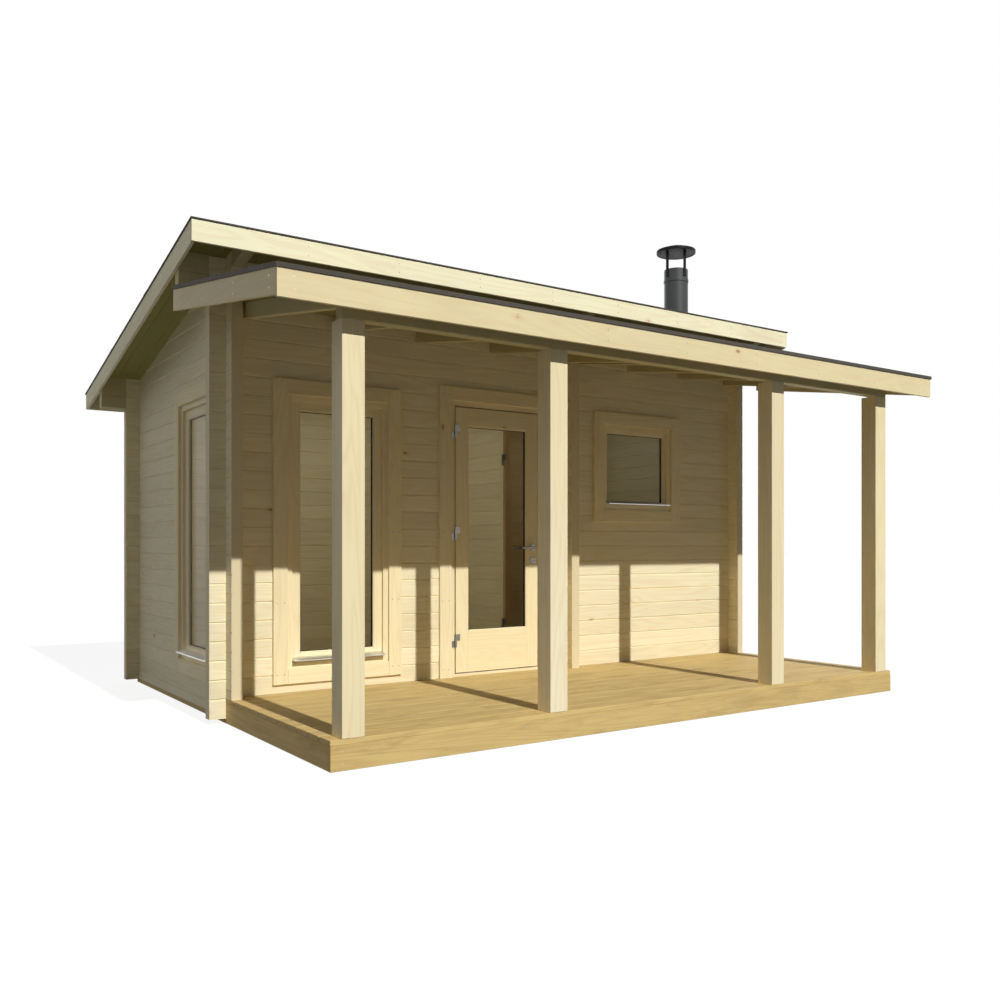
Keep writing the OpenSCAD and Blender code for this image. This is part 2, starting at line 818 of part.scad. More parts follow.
// Open pipe with the locking band of its upper joint
module chimney_pipe() {
    z0 = main_under(flue_y) - flue_under;
    color("DarkSlateGray") at_flue() difference() {
        union() {
            translate([0, 0, z0]) cylinder(d = flue_d, h = flue_top - z0);
            translate([0, 0, flue_top - band_drop]) cylinder(d = flue_d + 2 * band_t, h = band_h);
        }
        translate([0, 0, z0 - 1]) cylinder(d = flue_d - 2 * flue_wall, h = BIG);
    }
}

// Sloping plate on the felt with an upright collar round the pipe
module chimney_flashing() {
    half = flue_d / 2 + flange;
    felt_z = main_top(flue_y) + felt_t + seat;
    rise = half * tan(main_pitch);
    color("DimGray") at_flue() difference() {
        union() {
            slab(-half, half, -half, half, felt_z + rise, felt_z - rise,
                 felt_z + rise + plate_t, felt_z - rise + plate_t);
            difference() {
                translate([0, 0, felt_z - half])
                    cylinder(d = flue_d + 2 * (fit + collar_t), h = half + collar_h);
                slab(-half, half, -half, half, felt_z - BIG, felt_z - BIG,
                     felt_z + rise, felt_z - rise);
            }
        }
        cylinder(d = flue_d + 2 * fit, h = BIG);
    }
}

// Low domed rain hood on four flat struts that stand on the outside of the pipe
module chimney_cap() {
    r = cap_d / 2;
    color("DarkSlateGray") at_flue() {
        translate([0, 0, flue_top + cap_gap]) rotate_extrude()
            polygon([[0, 0], [r, 0], [r, cap_rim], [r * 0.94, cap_rim + 3],
                     [r * 0.5, cap_rim + (cap_h - cap_rim) * 0.62], [0, cap_h]]);
        for (a = [0 : 90 : 270]) rotate(a)
            translate([flue_d / 2 + fit, -strut_w / 2, flue_top - strut_lap])
                cube([strut_t, strut_w, strut_lap + cap_gap + cap_rim / 2]);
    }
}

base_beams();
floor_joists();
door_sill();
cabin_floor();
front_wall_left();
front_wall_over_door();
front_wall_right();
left_wall();
right_wall();
back_wall();
partition_front();
partition_back();
partition_over_door();
door_frame();
door_casing();
door_leaf();
door_glass();
door_handle();
door_hinge_sockets();
hinge_pins();
window_frames();
window_panes();
window_casings();
weather_bars();
inner_door_frame();
inner_door_glass();
inner_door_fittings();
deck_beams();
deck_joists();
deck_boards();
deck_front_board();
deck_side_boards();
porch_posts();
porch_beam();
porch_rafters();
porch_roof_boards();
porch_roof_felt();
porch_fascia();
porch_barge_boards();
eaves_log_ends();
roof_purlins();
main_roof_boards();
main_roof_felt();
main_roof_fascias();
main_roof_barge_boards();
chimney_pipe();
chimney_flashing();
chimney_cap();
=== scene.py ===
import math

import bpy
from bpy.props import FloatProperty, FloatVectorProperty, PointerProperty
from mathutils import Matrix, Vector


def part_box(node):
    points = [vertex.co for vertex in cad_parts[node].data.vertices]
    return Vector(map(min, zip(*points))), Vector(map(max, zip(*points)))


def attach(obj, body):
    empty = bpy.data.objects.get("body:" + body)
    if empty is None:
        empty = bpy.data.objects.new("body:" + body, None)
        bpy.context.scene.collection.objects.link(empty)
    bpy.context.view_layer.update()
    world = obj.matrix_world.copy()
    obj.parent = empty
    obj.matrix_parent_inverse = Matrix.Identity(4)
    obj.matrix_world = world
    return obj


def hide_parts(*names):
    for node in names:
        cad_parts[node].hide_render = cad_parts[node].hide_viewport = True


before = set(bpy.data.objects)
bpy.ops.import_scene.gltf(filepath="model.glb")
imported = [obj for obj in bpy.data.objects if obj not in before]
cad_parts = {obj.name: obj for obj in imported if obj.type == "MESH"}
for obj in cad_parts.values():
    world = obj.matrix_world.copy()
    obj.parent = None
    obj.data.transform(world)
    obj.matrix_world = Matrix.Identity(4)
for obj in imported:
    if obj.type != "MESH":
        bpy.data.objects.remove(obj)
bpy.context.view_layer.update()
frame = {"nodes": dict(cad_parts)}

bl_info = {
    "name": "Log Sauna Cabin",
    "version": (1, 0, 0),
    "blender": (4, 5, 0),
    "location": "View3D > Sidebar > Sauna",
    "description": "Boards, joinery, roofing and finishes of a log sauna cabin with a porch",
    "category": "Object",
}

NODES = frame["nodes"]
BUILT = {}

# Turns that lay an upright disc against a wall that runs along x or y.
FACING = {"x": (math.pi / 2, 0, 0), "y": (0, math.pi / 2, 0)}

# Rounding of the edges of joinery, in metres.
JOINERY_EASING = 0.0015
LEAF_EASING = 0.002
CASING_EASING = 0.003


# ---- Sizes and colours ----------------------------------------------------------------------

def length(name, description, default):
    return FloatProperty(name=name, description=description, default=default,
                         subtype="DISTANCE", unit="LENGTH")


def slope(name, description, degrees):
    return FloatProperty(name=name, description=description, default=math.radians(degrees),
                         subtype="ANGLE", unit="ROTATION")


def colour(name, description, default):
    return FloatVectorProperty(name=name, description=description, default=default,
                               subtype="COLOR", size=3, min=0, max=1)


class SaunaSizes(bpy.types.PropertyGroup):
    """Sizes of the boards, beads and fixings"""
    course: length("Log course", "Height of one log in a wall", 0.115)
    base: length("Base", "Height of the base beams under the logs", 0.030)
    groove: length("Groove", "Depth of the V groove between two logs", 0.006)
    main_pitch: slope("Main pitch", "Slope of the main roof", 12)
    porch_pitch: slope("Porch pitch", "Slope of the porch roof", 9)
    deck_plank: length("Deck plank", "Width of a deck plank with its gap", 0.1365)
    deck_gap: length("Deck gap", "Gap between two deck planks", 0.005)
    floor_plank: length("Floor plank", "Width of a floor plank", 0.110)
    roof_plank: length("Roof plank", "Width of a roof board", 0.113)
    roof_board: length("Roof board", "Thickness of a roof board", 0.020)
    easing: length("Easing", "Rounding of the edges of planed timber", 0.0025)
    post_easing: length("Post easing", "Rounding of the edges of the posts", 0.004)
    frame: length("Frame", "Width of the entrance's and the windows' frames", 0.045)
    sash: length("Sash", "Width of a tall window's sash bars", 0.050)
    slim_sash: length("Slim sash", "Width of the small window's sash bars", 0.020)
    sash_in: length("Sash set back", "Sash's face behind the wall's face", 0.020)
    sash_depth: length("Sash depth", "Depth of a window's sash bars", 0.044)
    pane: length("Pane", "Thickness of the sealed panes", 0.020)
    casing: length("Casing", "Width of the casing boards", 0.095)
    stile: length("Stile", "Width of the entrance leaf's stiles", 0.095)
    top_rail: length("Top rail", "Height of the entrance leaf's top rail", 0.120)
    bottom_rail: length("Bottom rail", "Height of the entrance leaf's bottom rail", 0.284)
    leaf_seat: length("Leaf seat", "Depth of the entrance leaf's rebate in its frame", 0.049)
    lining: length("Lining", "Width of the inner doorway's lining", 0.028)
    glass_seat: length("Glass seat", "Depth of the glass leaf's rebate in its lining", 0.013)
    stop: length("Stop", "Width of the stops behind the leaves", 0.016)
    threshold: length("Threshold", "Height of the doors' thresholds", 0.020)
    bead: length("Glazing bead", "Width of the beads that hold a pane", 0.013)
    gasket: length("Gasket", "Width of the sealing strip that shows beside a bead", 0.0025)
    screw: length("Screw head", "Radius of a screw head", 0.0045)
    felt_course: length("Felt course", "Distance between two laps in the roofing felt", 0.90)
    flashing_screw: length("Flashing screw", "Radius of a screw head in the flashing", 0.007)
    rim: length("Hood rim", "Radius of the rolled rim of the chimney's hood", 0.004)
    collar: length("Collar", "How far the chimney's bands stand out of its pipe", 0.004)


class SaunaColours(bpy.types.PropertyGroup):
    """Colours of the finishes"""
    pine: colour("Pine", "Early wood of the unpainted pine", (0.87, 0.76, 0.48))
    logs: colour("Logs", "Early wood of the wall logs", (0.84, 0.765, 0.535))
    pine_late: colour("Late wood", "Late wood of the unpainted pine", (0.72, 0.53, 0.26))
    cream: colour("Cream", "Paler boards among the others", (0.92, 0.85, 0.62))
    main_fascia: colour("Main fascia", "Early wood of the main roof's edges", (0.92, 0.885, 0.63))
    porch_fascia: colour("Porch fascia", "Early wood of the porch roof's edges", (0.80, 0.70, 0.43))
    # Painted shade: the roofs' timbers (porch beam, rafters, purlins and eaves logs) get a darker
    # pine than the rest, standing in for the shade under the roofs.
    roof_timber: colour("Roof timbers", "Early wood of the roofs' timbers", (0.53, 0.48, 0.26))
    # Painted shade: the roof boards are coloured far darker than pine, standing in for the shade on
    # the soffits under the main roof and the porch roof. The porch's boards are darker still, for
    # the deeper shade there.
    main_boards: colour("Main boards", "Early wood of the main roof's boards", (0.32, 0.31, 0.092))
    porch_boards: colour("Porch boards", "Early wood of the porch's boards", (0.215, 0.20, 0.06))
    floor_boards: colour("Floor boards", "Early wood of the floor boards", (0.76, 0.63, 0.38))
    knot: colour("Knot", "Knots in the pine", (0.30, 0.15, 0.06))
    treated: colour("Treated pine", "Early wood of the treated pine", (0.68, 0.505, 0.21))
    treated_late: colour("Treated late wood", "Late wood of the treated pine", (0.47, 0.30, 0.11))
    felt: colour("Felt", "Mineral face of the roofing felt", (0.070, 0.062, 0.050))
    flue: colour("Flue", "Paint of the chimney", (0.028, 0.030, 0.032))
    # Painted shade: the hood gets a near-black colour, darker than its paint, standing in for the
    # shade under the hood; it is not soot.
    soot: colour("Soot", "Sooty paint of the chimney's hood", (0.006, 0.006, 0.007))
    pull: colour("Pulls", "Oiled wood of the inner door's pulls", (0.36, 0.17, 0.07))


def sizes():
    return bpy.context.scene.sauna_sizes


def colours():
    return bpy.context.scene.sauna_colours


# ---- Finishes -------------------------------------------------------------------------------

class Graph:
    """Nodes of one finish; each call adds a node, sets it and joins its inputs."""

    def __init__(self, owner):
        owner.use_nodes = True
        self.owner = owner
        self.tree = owner.node_tree
        self.shader = self.tree.nodes.get("Principled BSDF")

    def feed(self, socket, value):
        if isinstance(value, bpy.types.NodeSocket):
            self.tree.links.new(value, socket)
        else:
            socket.default_value = value

    def add(self, kind, out=0, inputs=None, **settings):
        made = self.tree.nodes.new("ShaderNode" + kind)
        for key, value in settings.items():
            setattr(made, key, value)
        for key, value in (inputs or {}).items():
            self.feed(made.inputs[key], value)
        return made.outputs[out]

    def calc(self, operation, a, b=0.0, c=0.0, clamp=False):
        return self.add("Math", inputs={0: a, 1: b, 2: c}, operation=operation, use_clamp=clamp)

    def times(self, a, factor):
        return self.calc("MULTIPLY", a, factor)

    def line(self, a, factor, start, clamp=False):
        """A straight line: the factor times the value, from a start."""
        return self.calc("MULTIPLY_ADD", a, factor, start, clamp)

    def vector(self, operation, a, b):
        return self.add("VectorMath", inputs={0: a, 1: b}, operation=operation)

    def place(self):
        return self.add("TexCoord", out="Object")

    def blend(self, factor, a, b, mode="MIX"):
        return self.add("Mix", out=2, inputs={0: factor, 6: a, 7: b}, data_type="RGBA",
                        blend_type=mode)

    def noise(self, where, scale, detail=2.0, rough=0.5, bend=0.0):
        return self.add("TexNoise", inputs={"Vector": where, "Scale": scale, "Detail": detail,
                                            "Roughness": rough, "Distortion": bend})

    def streaks(self, where, stretch, detail=2.0, rough=0.5, bend=0.0):
        """Noise that repeats at its own rate along each axis."""
        return self.noise(self.vector("MULTIPLY", where, stretch), 1.0, detail, rough, bend)

    def fade(self, value, low, high, to_low=0.0, to_high=1.0):
        return self.add("MapRange", inputs={"Value": value, "From Min": low, "From Max": high,
                                            "To Min": to_low, "To Max": to_high},
                        interpolation_type="SMOOTHSTEP")

    def channel(self, colour, index):
        return self.add("SeparateColor", out=index, inputs={0: colour})

    def axis(self, vector, name):
        return self.add("SeparateXYZ", out=name, inputs={0: vector})

    def plain(self, name, value):
        """Sets one of the shader's own values, the same all over the surface."""
        self.shader.inputs[name].default_value = value

    def seen(self):
        """1 for rays from the camera and for those that a mirror or a pane passes on."""
        seen = self.add("LightPath", out="Is Camera Ray")
        for name in ("Is Glossy Ray", "Is Transmission Ray"):
            seen = self.calc("MAXIMUM", seen, self.add("LightPath", out=name))
        return seen

    def finish(self, colour, roughness, height=None, depth=0.0005, strength=0.5):
        self.feed(self.shader.inputs["Base Color"], colour)
        self.feed(self.shader.inputs["Roughness"], roughness)
        if height is not None:
            bump = self.add("Bump", inputs={"Height": height, "Distance": depth,
                                            "Strength": strength})
            self.feed(self.shader.inputs["Normal"], bump)
        return self.owner


def new_finish(name):
    return Graph(bpy.data.materials.new(name))


def rgba(value, level=1.0):
    return (value[0] * level, value[1] * level, value[2] * level, 1.0)


# How often each pattern repeats in a metre, along the grain and across it.
RING_FLOW = (0.45, 5.5, 5.5)
FIBRES = (3.0, 170.0, 170.0)
TONE = (1.2, 4.0, 4.0)
STAIN = (2.4, 9.0, 9.0)
KNOTS = (4.2, 8.0, 8.0)


def wood(name, grain, early, late, courses=None, knots=0.06, figure=0.22, blotch=0.0, sheen=0.5,
         pale=0.35):
    """Sawn and planed timber with its grain along one axis. Boards are told apart by their
    board attribute, and the logs of a wall by the height of their course."""
    g = new_finish(name)
    place = g.place()
    turn = {"x": (0, 0, 0), "y": (0, 0, -math.pi / 2), "z": (0, math.pi / 2, 0)}[grain]
    along = g.add("Mapping", inputs={"Vector": place, "Rotation": turn})
    if courses is None:
        number = g.add("Attribute", out="Fac", attribute_name="board", attribute_type="GEOMETRY")
    else:
        step = g.calc("SUBTRACT", g.axis(place, "Z"), courses)
        number = g.calc("FLOOR", g.calc("DIVIDE", step, sizes().course))
    dice = g.add("TexWhiteNoise", out="Color", inputs={"W": g.line(number, 1.37, 0.5)},
                 noise_dimensions="1D")
    spot = g.vector("ADD", along, g.vector("MULTIPLY", dice, (9.0, 5.0, 7.0)))

    # growth rings cut lengthwise, fine fibres and slow changes of tone
    flow = g.streaks(spot, RING_FLOW, 2.0, 0.45, 0.4)
    rings = g.line(g.calc("SINE", g.times(flow, 105.0)), 0.5, 0.5)
    fibres = g.streaks(spot, FIBRES, 3.0, 0.6)
    tone = g.streaks(spot, TONE)
    share = g.line(g.calc("POWER", rings, 2.2), figure, g.line(fibres, 0.50, -0.20), clamp=True)

    # each log or board is a little lighter, darker or paler than the next
    skin = rgba(early)
    if pale:
        skin = g.blend(g.times(g.channel(dice, 1), pale), skin, rgba(colours().cream))
    skin = g.blend(share, skin, rgba(late))
    if blotch:
        stain = g.fade(g.streaks(spot, STAIN, 4.0, 0.65), 0.48, 0.70)
        skin = g.blend(g.times(stain, blotch), skin, rgba(late, 0.72))
    level = g.line(g.channel(dice, 0), 0.08, g.line(tone, 0.14, 0.89))
    grey = g.add("CombineColor", inputs={0: level, 1: level, 2: level})
    skin = g.blend(1.0, skin, grey, "MULTIPLY")
    if knots:
        skin = knotted(g, skin, spot, fibres, knots, late)

    # end grain: growth rings about a heart outside the board
    facing = g.add("Mapping", inputs={"Vector": g.add("TexCoord", out="Normal"), "Rotation": turn},
                   vector_type="NORMAL")
    end = g.fade(g.calc("ABSOLUTE", g.axis(facing, "X")), 0.80, 0.95)
    across = g.calc("POWER", g.calc("PINGPONG", g.axis(spot, "Y"), 0.11), 2.0)
    upward = g.calc("POWER", g.calc("PINGPONG", g.axis(spot, "Z"), 0.09), 2.0)
    reach = g.calc("SQRT", g.calc("ADD", across, upward))
    year = g.line(g.calc("SINE", g.line(reach, 1500.0, g.times(tone, 9.0))), 0.5, 0.5)
    sawn = g.blend(g.line(year, 0.45, 0.10), rgba(early, 0.92), rgba(late, 0.90))
    skin = g.blend(end, skin, sawn)
    g.plain("Specular IOR Level", 0.30)
    height = g.calc("ADD", g.times(fibres, 0.6), g.times(rings, 0.4))
    return g.finish(skin, g.line(fibres, 0.16, sheen), height, 0.0005, 0.40)


def knotted(g, skin, spot, fibres, share, late):
    """Knots in that share of the cells along a board, each with a halo of late wood."""
    cells = {"Vector": g.vector("MULTIPLY", spot, KNOTS), "Scale": 1.0}
    luck = g.channel(g.add("TexVoronoi", out="Color", inputs=cells), 0)
    here = g.calc("LESS_THAN", luck, share)
    wobble = g.line(fibres, 0.05, g.add("TexVoronoi", out="Distance", inputs=cells))
    for outer, inner, strength, tint in ((0.26, 0.10, 0.40, late),
                                         (0.125, 0.085, 0.70, colours().knot)):
        mark = g.times(g.fade(wobble, outer, inner), here)
        skin = g.blend(g.times(mark, strength), skin, rgba(tint))
    return skin


def felt_finish(name):
    """Bitumen felt with a mineral face: fine granules, worn darker in places."""
    g = new_finish(name)
    felt = colours().felt
    granules = {"Vector": g.place(), "Scale": 420.0}
    grain = g.channel(g.add("TexVoronoi", out="Color", inputs=granules), 0)
    wear = g.fade(g.noise(g.place(), 1.7, 3.0, 0.6), 0.42, 0.68)
    skin = g.blend(grain, rgba(felt, 0.55), rgba(felt, 1.75))
    skin = g.blend(g.times(wear, 0.6), skin, rgba(felt, 0.85))
    lump = g.add("TexVoronoi", out="Distance", inputs=granules)
    return g.finish(skin, g.line(grain, 0.12, 0.84), lump, 0.0012, 0.8)


def painted_steel(name, tint, gloss=0.5):
    """Dark heatproof paint on sheet steel, with a fine texture and a little dust."""
    g = new_finish(name)
    pebble = g.noise(g.place(), 900.0)
    dust = g.fade(g.streaks(g.place(), (6.0, 6.0, 1.6), 4.0, 0.6), 0.40, 0.72)
    skin = g.blend(g.times(dust, 0.35), rgba(tint), rgba(tint, 2.0))
    g.plain("Specular IOR Level", gloss)
    return g.finish(skin, g.line(dust, 0.16, 0.42), pebble, 0.0003)


def metal(name, tint, roughness, brush=(2.0, 2.0, 260.0)):
    """Bare metal with a brushed face."""
    g = new_finish(name)
    lines = g.noise(g.vector("MULTIPLY", g.place(), brush), 4.0, 3.0, 0.6)
    skin = g.blend(lines, rgba(tint, 0.88), rgba(tint, 1.08))
    g.plain("Metallic", 1.0)
    return g.finish(skin, g.line(lines, 0.14, roughness), lines, 0.0002, 0.4)


def glass(name, tint):
    """Float glass with a faint wave and a film of dust. Its index is low, because a pane between
    bright surroundings and a dim room would mirror more than it shows."""
    g = new_finish(name)
    film = g.fade(g.noise(g.place(), 5.0, 4.0, 0.6), 0.45, 0.80)
    wave = g.noise(g.place(), 1.4, 1.0, 0.4)
    g.plain("Transmission Weight", 1.0)
    g.plain("IOR", 1.10)
    skin = g.blend(g.times(film, 0.10), rgba(tint), rgba(tint, 0.85))
    return g.finish(skin, g.times(film, 0.03), wave, 0.0010, 0.15)


def gasket_finish(name):
    """Black sealing strip between a pane and its beads."""
    g = new_finish(name)
    rub = g.noise(g.place(), 300.0)
    skin = g.blend(rub, (0.012, 0.012, 0.012, 1), (0.03, 0.03, 0.028, 1))
    return g.finish(skin, g.line(rub, 0.1, 0.55), rub, 0.0002, 0.3)


# Early wood, late wood and the figure of each kind of timber.
TIMBERS = {
    "joinery": ("pine", "pine_late", dict(knots=0.02, figure=0.18, sheen=0.42)),
    "trim": ("pine", "pine_late", dict(knots=0.05)),
    # The roofs' timbers take the darker roof_timber colour: painted shade under the roofs.
    "timber": ("roof_timber", "pine_late", dict(knots=0.04, pale=0.1)),
    "posts": ("pine", "pine_late", dict(knots=0.03, pale=0.9)),
    "logs": ("logs", "pine_late", dict(knots=0.09)),
    "main_fascia": ("main_fascia", "pine_late", dict(knots=0.03, figure=0.16, blotch=0.12,
                                                     pale=0.0)),
    "porch_fascia": ("porch_fascia", "pine_late", dict(knots=0.04, figure=0.20, blotch=0.15,
                                                       pale=0.0)),
    # Both roof boards' colours are painted shade on the soffits under the roofs.
    "main_boards": ("main_boards", "treated_late", dict(knots=0.08, figure=0.3, pale=0.0)),
    "porch_boards": ("porch_boards", "treated_late", dict(knots=0.08, figure=0.3, pale=0.0)),
    "floor_boards": ("floor_boards", "pine_late", dict(knots=0.08, figure=0.3, pale=0.2)),
    "treated": ("treated", "treated_late", dict(knots=0.08, figure=0.35, blotch=0.4, sheen=0.6,
                                                pale=0.0)),
    "pulls": ("pull", "knot", dict(knots=0.0, pale=0.0)),
}

OTHERS = {
    "felt": lambda: felt_finish("Roofing_felt"),
    "flue": lambda: painted_steel("Flue_paint", colours().flue),
    # The hood's near-black paint is painted shade under the hood, not soot.
    "soot": lambda: painted_steel("Sooty_paint", colours().soot, 0.15),
    "steel": lambda: metal("Satin_steel", (0.29, 0.28, 0.255), 0.40),
    "aluminium": lambda: metal("Mill_aluminium", (0.72, 0.72, 0.70), 0.36, (240.0, 240.0, 2.0)),
    "zinc": lambda: metal("Zinc_screws", (0.50, 0.49, 0.45), 0.42, (60.0, 60.0, 60.0)),
    "window_glass": lambda: glass("Window_glass", (0.84, 0.84, 0.76)),
    "bronze_glass": lambda: glass("Bronze_glass", (0.86, 0.73, 0.62)),
    "gasket": lambda: gasket_finish("Gasket"),
}


def finish(name):
    """The finish of that name, made when it is first asked for. A timber's name ends with the
    axis of its grain."""
    if name in BUILT:
        return BUILT[name]
    if name in OTHERS:
        BUILT[name] = OTHERS[name]()
        return BUILT[name]
    kind, grain = name.rsplit("_", 1)
    early, late, more = TIMBERS[kind]
    if kind == "logs":
        # the courses of crossing walls are half a log out of step
        more = dict(more, courses=sizes().base - (sizes().course / 2 if grain == "y" else 0))
    BUILT[name] = wood("Pine_" + name, grain, getattr(colours(), early),
                       getattr(colours(), late), **more)
    return BUILT[name]


# ---- Modelling ------------------------------------------------------------------------------

def pick(*objects):
    """Object mode with only these selected, the last one active."""
    if bpy.context.mode != "OBJECT":
        bpy.ops.object.mode_set(mode="OBJECT")
    bpy.ops.object.select_all(action="DESELECT")
    for o in objects:
        o.select_set(True)
        bpy.context.view_layer.objects.active = o


def settle(piece):
    """Puts the piece's place, turn and size into its mesh."""
    pick(piece)
    bpy.ops.object.transform_apply(location=True, rotation=True, scale=True)
    return piece


def named(piece, name):
    piece.name = piece.data.name = name
    return piece


def axes(along):
    """Numbers of the axis along a wall and of the one through it."""
    return (0, 1) if along == "x" else (1, 0)


def block(name, low, high):
    """A rough-cut block between two corners."""
    low, high = Vector(low), Vector(high)
    pick()
    bpy.ops.mesh.primitive_cube_add(size=1, location=(low + high) / 2)
    piece = named(bpy.context.object, name)
    piece.scale = high - low
    return settle(piece)


def disc(name, centre, radius, depth, sides=16, turn=(0, 0, 0)):
    """A rough-cut round blank, upright unless it is turned."""
    pick()
    bpy.ops.mesh.primitive_cylinder_add(vertices=sides, radius=radius, depth=depth,
                                        location=centre, rotation=turn)
    return settle(named(bpy.context.object, name))


def edit(piece, *steps):
    """Runs steps in edit mode on all of a piece."""
    pick(piece)
    bpy.ops.object.mode_set(mode="EDIT")
    bpy.ops.mesh.select_all(action="SELECT")
    for step, settings in steps:
        step(**settings)
    bpy.ops.object.mode_set(mode="OBJECT")


def smooth(piece, angle):
    pick(piece)
    bpy.ops.object.shade_smooth_by_angle(angle=math.radians(angle))
    return piece


def ease(piece, width, segments=2, angle=30):
    """Rounds the sharp edges and keeps the wide faces shaded flat."""
    pick(piece)
    bevel = piece.modifiers.new("Easing", "BEVEL")
    bevel.width = width
    bevel.segments = segments
    bevel.limit_method = "ANGLE"
    bevel.angle_limit = math.radians(angle)
    bpy.ops.object.modifier_apply(modifier=bevel.name)
    smooth(piece, 60)
    level = piece.modifiers.new("Flat faces", "WEIGHTED_NORMAL")
    level.keep_sharp = True
    bpy.ops.object.modifier_apply(modifier=level.name)
    return piece


def number(piece, value):
    """Tells this board from its neighbours in the timber finishes."""
    tag = piece.data.attributes.get("board") or piece.data.attributes.new("board", "FLOAT", "POINT")
    tag.data.foreach_set("value", [float(value)] * len(piece.data.vertices))
    return piece


def copy_at(piece, shift, turn=None):
    """A copy with a mesh of its own, turned about the origin and then shifted."""
    one = piece.copy()
    one.data = piece.data.copy()
    bpy.context.scene.collection.objects.link(one)
    one.data.transform(Matrix.Translation(shift) @ (turn or Matrix.Identity(4)))
    return one


def move(piece, shift, degrees):
    """The piece turned about the upright axis at the origin, and then shifted."""
    moved = copy_at(piece, shift, Matrix.Rotation(math.radians(degrees), 4, "Z"))
    bpy.data.objects.remove(piece)
    return moved


def join(name, pieces):
    pick(*pieces)
    if len(pieces) > 1:
        bpy.ops.object.join()
    return named(bpy.context.object, name)


def repeat(name, piece, shifts, first=0):
    """A copy of the piece at each shift, numbered and joined; the first one is used up."""
    made = [number(copy_at(piece, Vector(shift)), first + i) for i, shift in enumerate(shifts)]
    bpy.data.objects.remove(piece)
    return join(name, made)


def around(name, piece, centre, count):
    """Copies of a piece turned about an upright axis, joined; the first one is used up."""
    made = []
    for i in range(count):
        turn = Matrix.Rotation(i * 2 * math.pi / count, 4, "Z")
        made.append(copy_at(piece, centre, turn @ Matrix.Translation(-centre)))
    bpy.data.objects.remove(piece)
    return join(name, made)


def fit(piece, look, body="cabin", stands_for=()):
    """Gives a finished piece its finish and its body."""
    piece.data.materials.clear()
    piece.data.materials.append(finish(look))
    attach(piece, body)
    if stands_for:
        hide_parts(*stands_for)
    return piece


def dress(node, look):
    """Gives a CAD node its finish."""
    for holder in NODES[node].material_slots:
        holder.material = finish(look)


def from_node(node, name):
    """A clean copy of a CAD node's mesh, its loose triangles merged into whole faces."""
    piece = NODES[node].copy()
    piece.data = NODES[node].data.copy()
    for key in list(piece.keys()):
        del piece[key]
    piece.parent = None
    named(piece, name)
    bpy.context.scene.collection.objects.link(piece)
    piece.hide_viewport = piece.hide_render = False
    piece.hide_set(False)
    edit(piece, (bpy.ops.mesh.remove_doubles, dict(threshold=0.00002)),
         (bpy.ops.mesh.dissolve_limited, dict(angle_limit=math.radians(0.4))))
    return piece


def span(piece):
    """Lowest and highest corner of a piece."""
    points = [v.co for v in piece.data.vertices]
    return (Vector(min(p[i] for p in points) for i in range(3)),
            Vector(max(p[i] for p in points) for i in range(3)))


def loose_parts(piece):
    """Separates a piece into its solids, from left to right and front to back."""
    edit(piece, (bpy.ops.mesh.separate, dict(type="LOOSE")))
    parts = list(bpy.context.selected_objects)
    return sorted(parts, key=lambda p: tuple(round(v, 3) for v in span(p)[0]))


def eased(node, look, width=None, body="cabin", first=0):
    """A copy of a CAD node with its edges eased and its solids numbered; it stands for the node."""
    parts = loose_parts(from_node(node, "part"))
    for i, part in enumerate(parts):
        ease(number(part, first + i), width or sizes().easing)
    return fit(join(node + "_eased", parts), look, body, [node])


def solids(node):
    """Boxes of the solids in a CAD node."""
    parts = loose_parts(from_node(node, "part"))
    boxes = [span(p) for p in parts]
    for p in parts:
        bpy.data.objects.remove(p)
    return boxes


def cut(piece, cutters):
    """Takes the cutters' shape out of the piece; the cutters are used up."""
    tool = join("cutter", cutters)
    hole = piece.modifiers.new("Cut", "BOOLEAN")
    hole.object = tool
    hole.operation = "DIFFERENCE"
    pick(piece)
    bpy.ops.object.modifier_apply(modifier=hole.name)
    bpy.data.objects.remove(tool)
    return piece


def planks(name, low, high, along, width, gap, easing, first=0):
    """A floor of planks between two corners: one plank is modelled and copied."""
    low, high = Vector(low), Vector(high)
    across = axes(along)[1]
    room = high[across] - low[across]
    count = max(1, round(room / width))
    pitch = room / count
    end = high.copy()
    end[across] = low[across] + pitch - gap
    one = ease(block("plank", low, end), easing)
    step = Vector((0, 0, 0))
    shifts = []
    for i in range(count):
        step[across] = i * pitch + gap / 2
        shifts.append(step.copy())
    return repeat(name, one, shifts, first)


def round_edges(piece, wanted, width, segments=3):
    """Rounds those edges whose middle passes a test."""
    pick(piece)
    bpy.ops.object.mode_set(mode="EDIT")
    bpy.ops.mesh.select_mode(type="EDGE")
    bpy.ops.mesh.select_all(action="DESELECT")
    bpy.ops.object.mode_set(mode="OBJECT")
    points = piece.data.vertices
    for edge in piece.data.edges:
        edge.select = wanted((points[edge.vertices[0]].co + points[edge.vertices[1]].co) / 2)
    bpy.ops.object.mode_set(mode="EDIT")
    bpy.ops.mesh.bevel(offset=width, segments=segments, affect="EDGES")
    bpy.ops.mesh.select_mode(type="VERT")
    bpy.ops.object.mode_set(mode="OBJECT")
    return smooth(piece, 50)


def ring_boxes(low, high, along, side, bottom, top):
    """Grain and corners of the boards round an opening in a wall that runs along x or y: two
    uprights with the cross pieces between them. A width of nothing leaves that board out."""
    a = axes(along)[0]
    boxes = []
    for start in (low[a], high[a] - side):
        p, q = low.copy(), high.copy()
        p[a], q[a] = start, start + side
        boxes.append(("z", p, q))
    for z0, z1 in ((low.z, low.z + bottom), (high.z - top, high.z)):
        if z1 > z0:
            p, q = low.copy(), high.copy()
            p[a], q[a], p.z, q.z = low[a] + side, high[a] - side, z0, z1
            boxes.append((along, p, q))
    return boxes


